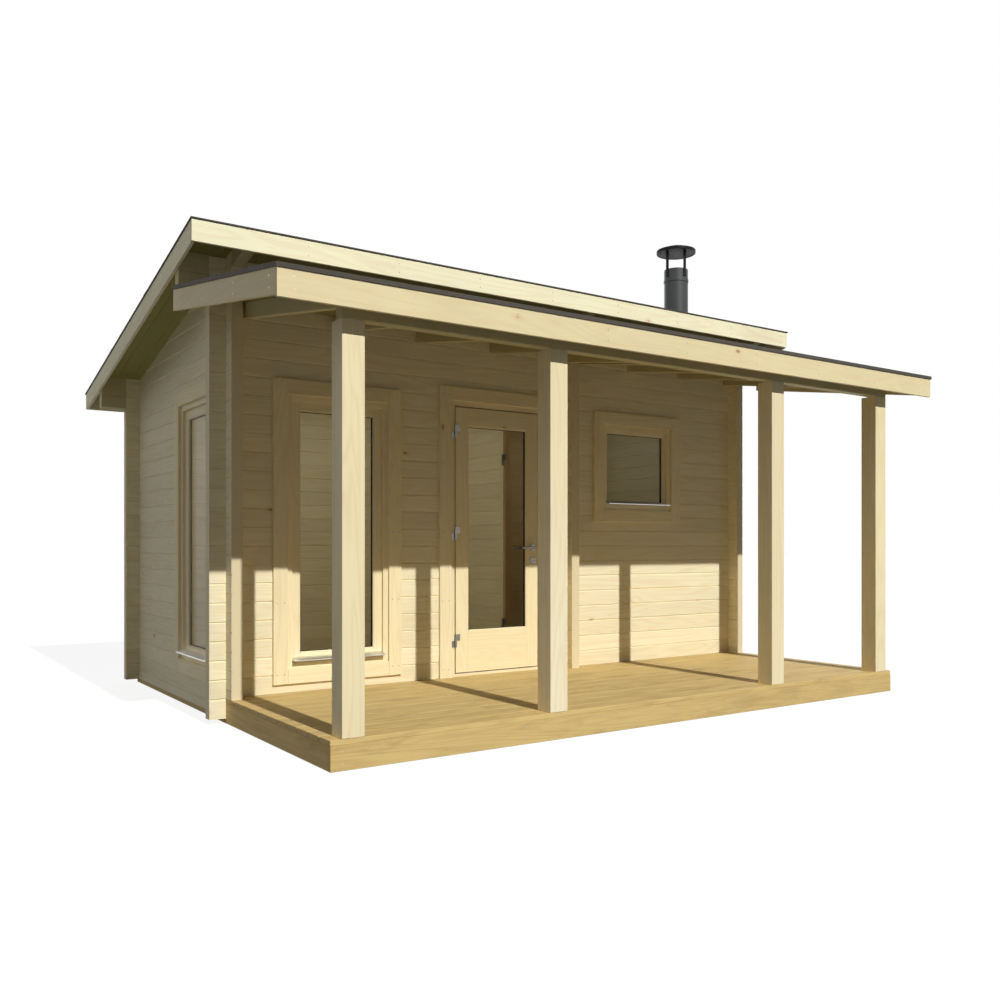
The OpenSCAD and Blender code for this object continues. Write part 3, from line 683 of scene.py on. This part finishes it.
class Boards:
    """Boards of one kind of work, gathered by the direction of their grain."""

    def __init__(self, first=0):
        self.by_grain = {"x": [], "y": [], "z": []}
        self.count = first

    def keep(self, grain, board):
        self.by_grain[grain].append(number(board, self.count))
        self.count += 1
        return board

    def add(self, grain, low, high, easing=JOINERY_EASING):
        return self.keep(grain, ease(block("board", low, high), easing))

    def ring(self, low, high, along, side, bottom, top, easing=JOINERY_EASING):
        for grain, p, q in ring_boxes(low, high, along, side, bottom, top):
            self.add(grain, p, q, easing)

    def fit(self, name, kind, slot, body="cabin", stands_for=()):
        for grain, boards in self.by_grain.items():
            if boards:
                fit(join(name + "_" + grain, boards), kind + "_" + grain, body, stands_for)


def inset(low, high, along, side, bottom, top, near, far):
    """Box inside another one: narrower along the wall, and between two depths behind its outer
    face."""
    a, d = axes(along)
    p, q = low.copy(), high.copy()
    p[a], q[a], p.z, q.z = low[a] + side, high[a] - side, low.z + bottom, high.z - top
    p[d], q[d] = low[d] + near, low[d] + far
    return p, q


def glazing(beads, strips, low, high, along):
    """Beads and sealing strips on both faces of a pane midway in an opening."""
    s = sizes()
    a, d = axes(along)
    thick = high[d] - low[d]
    back = 0.0015  # the beads' faces behind the sash's faces
    seal = 0.0012  # thickness of the sealing strips
    near = 0.0003  # how closely an edge is told by its place
    pane_0, pane_1 = (thick - s.pane) / 2, (thick + s.pane) / 2
    centre = (low + high) / 2
    reach = (high - low) / 2 - Vector((s.bead, s.bead, s.bead))
    for start, end, face in ((back, pane_0 - seal, low[d] + back),
                             (pane_1 + seal, thick - back, high[d] - back)):

        def sight_edge(point):
            """The edge of a bead that shows beside the glass."""
            out, up = abs(point[a] - centre[a]), abs(point.z - centre.z)
            return abs(point[d] - face) < near and (
                (abs(out - reach[a]) < near and up < near)
                or (abs(up - reach.z) < near and out < near))

        box = inset(low, high, along, 0, 0, 0, start, end)
        for grain, p, q in ring_boxes(*box, along, s.bead, s.bead, s.bead):
            bead = round_edges(block("bead", p, q), sight_edge, (end - start) * 0.7)
            beads.keep(grain, bead)
    wide = s.bead + s.gasket
    for start, end in ((pane_0 - seal, pane_0), (pane_1, pane_1 + seal)):
        box = inset(low, high, along, 0, 0, 0, start, end)
        for grain, p, q in ring_boxes(*box, along, wide, wide, wide):
            strips.append(ease(block("seal", p, q), 0.0003, 1))


def screws(name, places, body="cabin", turn=(0, 0, 0), radius=None):
    """Screw heads with eased rims, copied to each place."""
    radius = radius or sizes().screw
    head = disc("screw", (0, 0, 0), radius, radius * 0.5, 12, turn)
    edit(head, (bpy.ops.mesh.bevel, dict(offset=radius * 0.18, segments=1, affect="EDGES")))
    return fit(repeat(name, smooth(head, 40), places), "zinc", body)


def spread(start, end, step):
    """Places from start to end, at most a step apart."""
    count = max(1, math.ceil((end - start) / step))
    return [start + (end - start) * i / count for i in range(count + 1)]


# ---- Parts of the cabin that several operators read -----------------------------------------

def is_room(low, high):
    """Tells a room's floor from the saddle in the doorway between the rooms."""
    return high.x - low.x > 0.2


class Roof:
    """Planes of a roof, read from one of its layers."""

    def __init__(self, layer, pitch, rising):
        self.low, self.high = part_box(layer)
        self.pitch = pitch if rising else -pitch
        run = self.high.y - self.low.y
        self.length = run / math.cos(pitch)
        self.width = self.high.x - self.low.x
        front = self.high.z - (run * math.tan(pitch) if rising else 0)
        self.corner = Vector((self.low.x, self.low.y, front))

    def lay(self, piece):
        """Tips a piece made flat at the origin onto the roof, about its front edge."""
        piece.rotation_euler.x = self.pitch
        piece.location = self.corner
        return settle(piece)

    def boards(self, name, along):
        """Tongued boards, a little short of the roof's front and back edges."""
        s = sizes()
        short, gap, easing = 0.004, 0.0008, 0.003
        layer = planks(name, (0, short, -s.roof_board), (self.width, self.length - short, 0),
                       along, s.roof_plank, gap, easing)
        return self.lay(layer)

    def laps(self, name):
        """Raised laps where one course of felt runs over the next."""
        count = max(1, round(self.length / sizes().felt_course))
        deep, thick = 0.09, 0.003
        strip = ease(block("lap", (0, 0, 0), (self.width, deep, thick)), 0.0012)
        lap = repeat(name, strip, [(0, self.length * i / count, 0) for i in range(1, count)])
        fit(self.lay(lap), "felt")

    def edge_screws(self, name, fascias, barges):
        """Pairs of screws in the boards round the roof's edge."""
        end, step, pair = 0.08, 0.62, (0.28, 0.72)
        places = []
        for low, high in solids(fascias):
            front = abs(low.y - self.low.y) < abs(high.y - self.high.y)
            places += [(x, low.y if front else high.y, low.z + (high.z - low.z) * part)
                       for x in spread(low.x + end, high.x - end, step) for part in pair]
        screws(name + "_front_screws", places, turn=FACING["x"])
        places = []
        for low, high in solids(barges):
            rise = (high.y - low.y) * math.tan(self.pitch)
            height = high.z - low.z - abs(rise)
            for y in spread(low.y + end, high.y - 0.06, step):
                bottom = low.z + max(0, -rise) + (y - low.y) * math.tan(self.pitch)
                places += [(low.x if low.x < 0 else high.x, y, bottom + height * part)
                           for part in pair]
        screws(name + "_side_screws", places, turn=FACING["y"])


class Pipe:
    """The chimney's pipe: its ends, its middle, and its radius over and between the bands."""

    def __init__(self):
        self.low, self.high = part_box("chimney_pipe")
        self.middle = (self.low + self.high) / 2
        self.band = (self.high.x - self.low.x) / 2
        self.radius = self.band - sizes().collar

    def at(self, height):
        return Vector((self.middle.x, self.middle.y, height))


def doorway(name, node, along, side, seat, first):
    """Boards round a doorway and the stops that its leaf closes against. Returns its corners."""
    s = sizes()
    low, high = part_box(node)
    depth = high[axes(along)[1]] - low[axes(along)[1]]
    boards = Boards(first)
    boards.ring(low, high, along, side, s.threshold, side)
    stop = inset(low, high, along, side, s.threshold, side, seat, depth)
    boards.ring(*stop, along, s.stop, 0, s.stop)
    boards.fit(name, "joinery", "pine_joinery", stands_for=[node])
    return low, high


def casing_screws(name, boxes, along):
    """Pairs of screws in the uprights of casings; the boxes are the casings' own."""
    a, d = axes(along)
    half, end, step, apart = sizes().casing / 2, 0.06, 0.52, 0.024
    places = []
    for low, high in boxes:
        for middle in (low[a] + half, high[a] - half):
            for z in spread(low.z + end, high.z - end, step):
                for side in (-apart, apart):
                    place = Vector((0, 0, z))
                    place[a], place[d] = middle + side, low[d]
                    places.append(place)
    screws(name, places, turn=FACING[along])


# ---- Operators ------------------------------------------------------------------------------

def sun(name, energy, angle, azimuth, elevation, tint=(1.0, 1.0, 1.0)):
    """Parallel light; azimuth is the way it travels, clockwise from +Y."""
    pick()
    bpy.ops.object.light_add(type="SUN", location=(-1.0, -9.0, 7.0))
    lamp = bpy.context.object
    lamp.name = name
    lamp.data.energy = energy
    lamp.data.angle = math.radians(angle)
    lamp.data.color = tint
    azimuth, elevation = math.radians(azimuth), math.radians(elevation)
    travel = Vector((math.sin(azimuth) * math.cos(elevation),
                     math.cos(azimuth) * math.cos(elevation), -math.sin(elevation)))
    lamp.rotation_euler = travel.to_track_quat("-Z", "Y").to_euler()


def room_lamp(name, low, high, power):
    """Soft light under a room's roof, itself unseen."""
    height, share = 2.30, 0.7
    middle = (low + high) / 2
    pick()
    bpy.ops.object.light_add(type="AREA", location=(middle.x, middle.y, height))
    lamp = bpy.context.object
    lamp.name = name
    lamp.data.shape = "RECTANGLE"
    lamp.data.size = (high.x - low.x) * share
    lamp.data.size_y = (high.y - low.y) * share
    lamp.data.energy = power
    lamp.visible_camera = lamp.visible_glossy = lamp.visible_transmission = False


class SAUNA_OT_stage(bpy.types.Operator):
    """Camera, floor, lamps and the surrounding white"""
    bl_idname = "sauna.stage"
    bl_label = "Stage"

    def execute(self, context):
        scene = context.scene
        scene.view_settings.view_transform = "Standard"
        self.add_camera(scene)
        sun("Key", 3.3, 0.7, 0.0, 37.8, (1.0, 0.985, 0.955))
        sun("Side_fill", 0.28, 60.0, 90.0, 30.0)
        sun("Back_fill", 0.80, 60.0, 205.0, 25.0)
        rooms = [box for box in solids("cabin_floor") if is_room(*box)]
        for name, box, power in zip(("Changing_room", "Sauna_room"), rooms, (4.1, 1.8)):
            room_lamp(name + "_lamp", *box, power)
        self.add_surroundings(scene)
        self.add_floor()
        return {"FINISHED"}

    def add_camera(self, scene):
        """A level camera at the height of a seated person's eyes, off the left front corner."""
        looks_at = (0.5654, 0.8248)
        pick()
        bpy.ops.object.camera_add(location=(-4.0786, -6.0664, 1.070),
                                  rotation=(math.pi / 2, 0, -math.atan2(*looks_at)))
        camera = bpy.context.object
        camera.data.sensor_width = 36
        camera.data.lens = 34.13
        camera.data.shift_y = 0.045
        camera.data.clip_end = 300
        scene.camera = camera

    def add_surroundings(self, scene):
        """White where it is seen, and a faint even light on the object."""
        world = bpy.data.worlds.new("Studio")
        scene.world = world
        g = Graph(world)
        sky = g.tree.nodes["Background"]
        g.feed(sky.inputs["Strength"], g.fade(g.seen(), 0.0, 1.0, 0.08, 1.0))
        sky.inputs["Color"].default_value = (1, 1, 1, 1)

    def add_floor(self):
        """A pale floor that is seen white and still shows the object's shadow."""
        pick()
        bpy.ops.mesh.primitive_grid_add(x_subdivisions=8, y_subdivisions=8, size=160,
                                        location=(0, 0, -0.002))
        floor = settle(named(bpy.context.object, "Studio_floor"))
        g = new_finish("Studio_floor")
        cloud = g.noise(g.place(), 0.35, 3.0)
        g.finish(g.blend(cloud, (0.155, 0.155, 0.155, 1), (0.170, 0.170, 0.170, 1)), 0.9)
        g.plain("Specular IOR Level", 0.0)
        glow = g.add("Emission", inputs={"Color": (1, 1, 1, 1),
                                         "Strength": g.times(g.seen(), 0.885)})
        both = g.add("AddShader", inputs={0: g.shader.outputs[0], 1: glow})
        g.feed(g.tree.nodes["Material Output"].inputs["Surface"], both)
        floor.data.materials.append(g.owner)


class SAUNA_OT_walls(bpy.types.Operator):
    """Log walls, partition and the log ends that carry the main roof"""
    bl_idname = "sauna.walls"
    bl_label = "Log walls"

    def execute(self, context):
        for node in ("front_wall_left", "front_wall_over_door", "front_wall_right", "back_wall"):
            dress(node, "logs_x")
        for node in ("left_wall", "right_wall", "partition_front", "partition_back",
                     "partition_over_door"):
            dress(node, "logs_y")
        log = 0.1  # more than a log's thickness
        across, deep = [], []
        for i, part in enumerate(loose_parts(from_node("eaves_log_ends", "part"))):
            low, high = span(number(part, i))
            if high.x - low.x < log:
                deep.append(ease(part, sizes().easing))
            else:
                across.append(ease(cut(part, self.grooves(low, high)), 0.0015))
        # The eaves logs take the darker roof-timber colour: painted shade under the eaves.
        for name, parts, grain in (("across", across, "x"), ("deep", deep, "y")):
            fit(join("eaves_logs_" + name, parts), "timber_" + grain,
                stands_for=["eaves_log_ends"])
        return {"FINISHED"}

    def grooves(self, low, high):
        """Cutters for the V grooves between two courses, on both faces of a wall's log end."""
        s = sizes()
        half = s.groove * math.sqrt(2) / 2
        past = 0.01
        made = []
        course = math.ceil((low.z + 0.02 - s.base) / s.course)
        while s.base + course * s.course < high.z - 0.03:
            for y in (low.y, high.y):
                bar = block("groove", (low.x - past, -half, -half), (high.x + past, half, half))
                bar.rotation_euler.x = math.pi / 4
                bar.location = (0, y, s.base + course * s.course)
                made.append(settle(bar))
            course += 1
        return made


class SAUNA_OT_deck(bpy.types.Operator):
    """Deck planks with their screws, edge boards, beams and joists"""
    bl_idname = "sauna.deck"
    bl_label = "Deck"

    def execute(self, context):
        s = sizes()
        low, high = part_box("deck_boards")
        floor = planks("deck_planks", low, high, "x", s.deck_plank, s.deck_gap, 0.003)
        fit(floor, "treated_x", stands_for=["deck_boards"])
        count = round((high.y - low.y) / s.deck_plank)
        pitch = (high.y - low.y) / count
        sunk, sides = 0.0004, (0.22, 0.78)
        screws("deck_screws", [((a.x + b.x) / 2, low.y + (i + side) * pitch, high.z - sunk)
                               for a, b in solids("deck_joists")
                               for i in range(count) for side in sides])
        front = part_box("deck_front_board")[0]
        end, step, heights = 0.06, 0.56, (0.035, 0.095)
        screws("deck_edge_screws", [(x, front.y, front.z + up)
                                    for x in spread(low.x + end, high.x - end, step)
                                    for up in heights], turn=FACING["x"])
        for node, grain, first in (("deck_front_board", "x", 31), ("deck_side_boards", "y", 33),
                                   ("deck_beams", "x", 36), ("deck_joists", "y", 40)):
            eased(node, "treated_" + grain, first=first)
        return {"FINISHED"}


class SAUNA_OT_floor(bpy.types.Operator):
    """Floor planks in both rooms, with the beams and joists under them"""
    bl_idname = "sauna.floor"
    bl_label = "Floor"

    def execute(self, context):
        plank, gap, easing = sizes().floor_plank, 0.001, 0.0015
        floors = []
        for i, (low, high) in enumerate(solids("cabin_floor")):
            if is_room(low, high):
                floors.append(planks("room", low, high, "x", plank, gap, easing, 20 * i))
            else:
                floors.append(number(ease(block("saddle", low, high), 0.003), 99))
        fit(join("floor_planks", floors), "floor_boards_x",
            stands_for=["cabin_floor"])
        eased("floor_joists", "treated_y")
        eased("door_sill", "treated_x")
        dress("base_beams", "treated_x")
        return {"FINISHED"}


class SAUNA_OT_porch(bpy.types.Operator):
    """Posts, beam and rafters of the porch"""
    bl_idname = "sauna.porch"
    bl_label = "Porch frame"

    def execute(self, context):
        width = sizes().post_easing
        eased("porch_posts", "posts_z", width, first=128)
        # The beam and rafters take the darker roof-timber colour: painted shade under the porch
        # roof.
        eased("porch_beam", "timber_x", width)
        eased("porch_rafters", "timber_y")
        return {"FINISHED"}


class SAUNA_OT_main_roof(bpy.types.Operator):
    """Boards, felt, fascias, barge boards and purlins of the main roof"""
    bl_idname = "sauna.main_roof"
    bl_label = "Main roof"

    def execute(self, context):
        pitch = sizes().main_pitch
        roof = Roof("main_roof_boards", pitch, False)
        boards = roof.boards("roof_planks", "y")
        pipe = Pipe()
        round_pipe, low_enough = 0.016, 2.7
        hole = disc("hole", pipe.at(low_enough), pipe.band + round_pipe, 1.0, 48)
        # The main roof's boards take a darkened colour: painted shade on the soffit.
        fit(cut(boards, [hole]), "main_boards_y", stands_for=["main_roof_boards"])
        dress("main_roof_felt", "felt")
        Roof("main_roof_felt", pitch, False).laps("main_felt_laps")
        eased("main_roof_fascias", "main_fascia_x")
        eased("main_roof_barge_boards", "main_fascia_y")
        # The purlins take the darker roof-timber colour: painted shade under the roof.
        eased("roof_purlins", "timber_x")
        roof.edge_screws("main_roof", "main_roof_fascias", "main_roof_barge_boards")
        return {"FINISHED"}


class SAUNA_OT_porch_roof(bpy.types.Operator):
    """Boards, felt, fascia and barge boards of the porch roof"""
    bl_idname = "sauna.porch_roof"
    bl_label = "Porch roof"

    def execute(self, context):
        pitch = sizes().porch_pitch
        roof = Roof("porch_roof_boards", pitch, True)
        boards = roof.boards("porch_planks", "x")
        play, back = 0.0005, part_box("front_wall_left")[0].y + 0.05
        notches = []
        for node in ("left_wall", "partition_front", "right_wall"):
            low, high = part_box(node)
            notches.append(block("notch", (low.x - play, low.y - play, 2.0),
                                 (high.x + play, back, 3.0)))
        # The porch roof's boards take a darkened colour: painted shade on the porch soffit.
        fit(cut(boards, notches), "porch_boards_x",
            stands_for=["porch_roof_boards"])
        dress("porch_roof_felt", "felt")
        Roof("porch_roof_felt", pitch, True).laps("porch_felt_laps")
        eased("porch_fascia", "porch_fascia_x")
        eased("porch_barge_boards", "porch_fascia_y", first=4)
        roof.edge_screws("porch_roof", "porch_fascia", "porch_barge_boards")
        return {"FINISHED"}


class SAUNA_OT_entrance(bpy.types.Operator):
    """Entrance frame, casing, glazed leaf, handle and hinges"""
    bl_idname = "sauna.entrance"
    bl_label = "Entrance"

    def execute(self, context):
        s = sizes()
        frame_box = doorway("entrance_frame", "door_frame", "x", s.frame, s.leaf_seat, 10)
        self.threshold_strip(*frame_box)
        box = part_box("door_casing")
        casing = Boards(20)
        casing.ring(*box, "x", s.casing, 0, s.casing, CASING_EASING)
        casing.fit("entrance_casing", "trim", "pine_trim", stands_for=["door_casing"])
        casing_screws("entrance_casing_screws", [box], "x")
        self.leaf(*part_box("door_leaf"))
        self.key_plates(*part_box("door_leaf"))
        for node in ("door_handle", "door_hinge_sockets", "hinge_pins"):
            dress(node, "steel")
        return {"FINISHED"}

    def leaf(self, low, high):
        """The leaf's stiles and rails, with the beads and seals of its pane."""
        s = sizes()
        rails = (s.stile, s.bottom_rail, s.top_rail)
        boards = Boards(30)
        boards.ring(low, high, "x", *rails, LEAF_EASING)
        boards.fit("entrance_leaf", "joinery", "pine_joinery", "entrance_door", ["door_leaf"])
        beads, strips = Boards(40), []
        glazing(beads, strips, *inset(low, high, "x", *rails, 0, high.y - low.y), "x")
        beads.fit("entrance_beads", "joinery", "pine_joinery", "entrance_door")
        fit(join("entrance_seals", strips), "gasket", "entrance_door")
        dress("door_glass", "window_glass")

    def threshold_strip(self, low, high):
        """Metal strip on the threshold, between the frame's uprights."""
        s = sizes()
        front, back, thick = 0.004, 0.046, 0.002
        top = low.z + s.threshold
        strip = block("threshold_strip", (low.x + s.frame, low.y + front, top),
                      (high.x - s.frame, low.y + back, top + thick))
        fit(ease(strip, 0.0008), "aluminium")

    def key_plates(self, low, high):
        """Round plates over the keyhole on both faces of the leaf."""
        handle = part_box("door_handle")
        under_handle, radius, thick = 0.095, 0.024, 0.006
        x = high.x - sizes().stile / 2
        z = (handle[0].z + handle[1].z) / 2 - under_handle
        hole, slot, slot_end = 0.004, 0.0018, 0.012
        plates = []
        for y, out in ((low.y, -1), (high.y, 1)):
            face = y + out * thick / 2
            plate = disc("plate", (x, face, z), radius, thick, 32, FACING["x"])
            cut(plate, [disc("hole", (x, y, z + hole), hole, 0.05, 12, FACING["x"])])
            cut(plate, [block("slot", (x - slot, y - 0.02, z - slot_end),
                              (x + slot, y + 0.02, z + 0.003))])
            plates.append(ease(plate, 0.0008))
        fit(join("key_plates", plates), "steel", "entrance_door")


class SAUNA_OT_inner_door(bpy.types.Operator):
    """Lining, bronze glass leaf and pulls of the inner door"""
    bl_idname = "sauna.inner_door"
    bl_label = "Inner door"

    def execute(self, context):
        s = sizes()
        doorway("inner_lining", "inner_door_frame", "y", s.lining, s.glass_seat, 50)
        dress("inner_door_glass", "bronze_glass")
        self.fittings()
        return {"FINISHED"}

    def fittings(self):
        """Oiled wooden pulls beside the glass, steel hinges at its other edge."""
        low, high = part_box("inner_door_glass")
        pulls, hinges = [], []
        for part in loose_parts(from_node("inner_door_fittings", "part")):
            start, end = span(part)
            kind = pulls if start.y + end.y < low.y + high.y else hinges
            kind.append(ease(number(part, 60), 0.0006))
        for name, parts, look, slot in (("inner_pulls", pulls, "pulls_z", "inner_pull"),
                                        ("inner_hinges", hinges, "steel", "door_metal")):
            fit(join(name, parts), look, "inner_door", ["inner_door_fittings"])


class SAUNA_OT_windows(bpy.types.Operator):
    """Frames, sashes, beads, panes, casings and weather bars of the three windows"""
    bl_idname = "sauna.windows"
    bl_label = "Windows"

    def execute(self, context):
        self.joinery()
        self.casings()
        eased("weather_bars", "aluminium", 0.0012)
        return {"FINISHED"}

    def joinery(self):
        """Frames, sashes, beads, seals and panes."""
        s = sizes()
        frames, beads = Boards(60), Boards(90)
        strips, panes = [], []
        room = (s.sash_depth - s.pane) / 2
        play, tall = 0.001, 1.0
        for low, high in solids("window_frames"):
            along = "x" if high.x - low.x > high.y - low.y else "y"
            bar = s.sash if high.z - low.z > tall else s.slim_sash
            depths = (s.sash_in, s.sash_in + s.sash_depth)
            frames.ring(low, high, along, s.frame, s.frame, s.frame)
            sash = inset(low, high, along, s.frame, s.frame, s.frame, *depths)
            frames.ring(*sash, along, bar, bar, bar, LEAF_EASING)
            rim = s.frame + bar
            opening = inset(low, high, along, rim, rim, rim, *depths)
            glazing(beads, strips, *opening, along)
            pane = inset(*opening, along, play, play, play, room, room + s.pane)
            panes.append(ease(block("pane", *pane), 0.001, 1))
        frames.fit("window_joinery", "joinery", "pine_joinery", stands_for=["window_frames"])
        beads.fit("window_beads", "joinery", "pine_joinery")
        fit(join("window_seals", strips), "gasket")
        fit(join("window_glazing", panes), "window_glass",
            stands_for=["window_panes"])

    def casings(self):
        """Casing boards round the windows, with their screws."""
        side = sizes().casing
        casings = Boards(130)
        for along in "xy":
            boxes = [(low, high) for low, high in solids("window_casings")
                     if (high.x - low.x > high.y - low.y) == (along == "x")]
            for box in boxes:
                casings.ring(*box, along, side, side, side, CASING_EASING)
            casing_screws("window_casing_screws_" + along, boxes, along)
        casings.fit("window_trim", "trim", "pine_trim", stands_for=["window_casings"])


class SAUNA_OT_chimney(bpy.types.Operator):
    """Pipe, flashing and cap of the chimney, with their rivets, screws and bands"""
    bl_idname = "sauna.chimney"
    bl_label = "Chimney"

    def execute(self, context):
        eased("chimney_pipe", "flue", 0.0012)
        # The hood's finish is near-black: painted shade under the hood.
        eased("chimney_cap", "soot", 0.0012)
        eased("chimney_flashing", "flue", 0.0010)
        self.pipe_details(Pipe())
        self.cap_details(Pipe())
        self.flashing_details(Pipe())
        return {"FINISHED"}

    def pipe_details(self, pipe):
        """The lock of the upper band with its bolt, and the seam down the pipe."""
        half, tall, out, into, below_top = 0.014, 0.009, 0.010, 0.004, 0.099
        lock = ease(block("lock", (-half, -pipe.band - out, -tall),
                          (half, -pipe.band + into, tall)), 0.002)
        bolt = disc("bolt", (0, -pipe.band - out / 2, 0), 0.004, 0.05, 8, FACING["y"])
        clasp = join("clasp", [lock, ease(bolt, 0.0008)])
        clasp = named(move(clasp, pipe.at(pipe.high.z - below_top), 150), "band_clasp")
        fit(clasp, "steel")

        half, out, into = 0.005, 0.0012, 0.001
        bottom, top = pipe.low.z + 0.05, pipe.high.z - 0.12
        seam = ease(block("seam", (-half, -pipe.radius - out, 0),
                          (half, -pipe.radius + into, top - bottom)), 0.0006)
        fit(named(move(seam, pipe.at(bottom), 200), "pipe_seam"), "flue")

    def cap_details(self, pipe):
        """The hood's rolled rim and the rivets of the legs in the pipe."""
        low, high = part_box("chimney_cap")
        below_top, leg, drops = 0.069, 0.0043, (0.018, 0.052)
        centre = (low + high) / 2
        centre.z = high.z - below_top
        # The rolled rim shares the hood's near-black finish: painted shade.
        fit(self.rolled_rim(centre, (high.x - low.x) / 2), "soot")
        rivets = []
        for drop in drops:
            place = (centre.x + pipe.radius + leg, centre.y, pipe.high.z - drop)
            head = ease(disc("rivet", place, 0.0045, 0.003, 12, FACING["y"]), 0.001)
            rivets.append(around("rivets", head, centre, 4))
        fit(join("cap_rivets", rivets), "flue")

    def rolled_rim(self, centre, radius):
        """The hood's edge rolled into a bead: a round outline spun about the pipe's axis."""
        bead = sizes().rim
        pick()
        bpy.ops.mesh.primitive_circle_add(vertices=10, radius=bead, rotation=FACING["x"],
                                          location=centre + Vector((radius - bead, 0, 0)))
        rim = settle(named(bpy.context.object, "cap_rim"))
        turn = dict(steps=64, angle=math.radians(360), center=centre, axis=(0, 0, 1))
        edit(rim, (bpy.ops.mesh.spin, turn))
        edit(rim, (bpy.ops.mesh.remove_doubles, dict(threshold=0.00005)),
             (bpy.ops.mesh.normals_make_consistent, dict(inside=False)))
        return smooth(rim, 60)

    def flashing_details(self, pipe):
        """Screws round the flashing's foot and the band round its collar."""
        pitch = sizes().main_pitch
        roof = Roof("main_roof_felt", pitch, False)
        low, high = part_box("chimney_flashing")
        edge, out = 0.016, 0.0042
        step = ((high.x - low.x) / 2 - edge) / 2
        centre = (low + high) / 2
        places = []
        for i in range(-2, 3):
            for j in range(-2, 3):
                if 2 in (abs(i), abs(j)):
                    x, y = centre.x + step * i, centre.y + step * j
                    top = roof.corner.z - (y - roof.corner.y) * math.tan(pitch)
                    places.append((x, y, top + out))
        screws("flashing_screws", places, turn=(-pitch, 0, 0),
               radius=sizes().flashing_screw)
        inner, outer, tall, below_top = 0.0063, 0.0085, 0.014, 0.012
        place = Vector((centre.x, centre.y, high.z - below_top))
        band = disc("collar_band", place, pipe.radius + outer, tall, 48)
        cut(band, [disc("bore", place, pipe.radius + inner, 0.2, 48)])
        fit(ease(band, 0.0006), "steel")


OPERATORS = (SAUNA_OT_stage, SAUNA_OT_walls, SAUNA_OT_deck, SAUNA_OT_floor, SAUNA_OT_porch,
             SAUNA_OT_porch_roof, SAUNA_OT_main_roof, SAUNA_OT_entrance, SAUNA_OT_inner_door,
             SAUNA_OT_windows, SAUNA_OT_chimney)


class SAUNA_PT_pieces(bpy.types.Panel):
    """Lists the steps that build the cabin's visible pieces"""
    bl_idname = "SAUNA_PT_pieces"
    bl_label = "Sauna Cabin"
    bl_space_type = "VIEW_3D"
    bl_region_type = "UI"
    bl_category = "Sauna"

    def draw(self, context):
        for operator in OPERATORS:
            self.layout.operator(operator.bl_idname)


CLASSES = (SaunaSizes, SaunaColours) + OPERATORS + (SAUNA_PT_pieces,)


def register():
    for made in CLASSES:
        bpy.utils.register_class(made)
    bpy.types.Scene.sauna_sizes = PointerProperty(type=SaunaSizes)
    bpy.types.Scene.sauna_colours = PointerProperty(type=SaunaColours)


def unregister():
    del bpy.types.Scene.sauna_colours
    del bpy.types.Scene.sauna_sizes
    for made in reversed(CLASSES):
        bpy.utils.unregister_class(made)


def main():
    register()
    for operator in OPERATORS:
        group, name = operator.bl_idname.split(".")
        getattr(getattr(bpy.ops, group), name)()


if __name__ == "__main__":
    main()
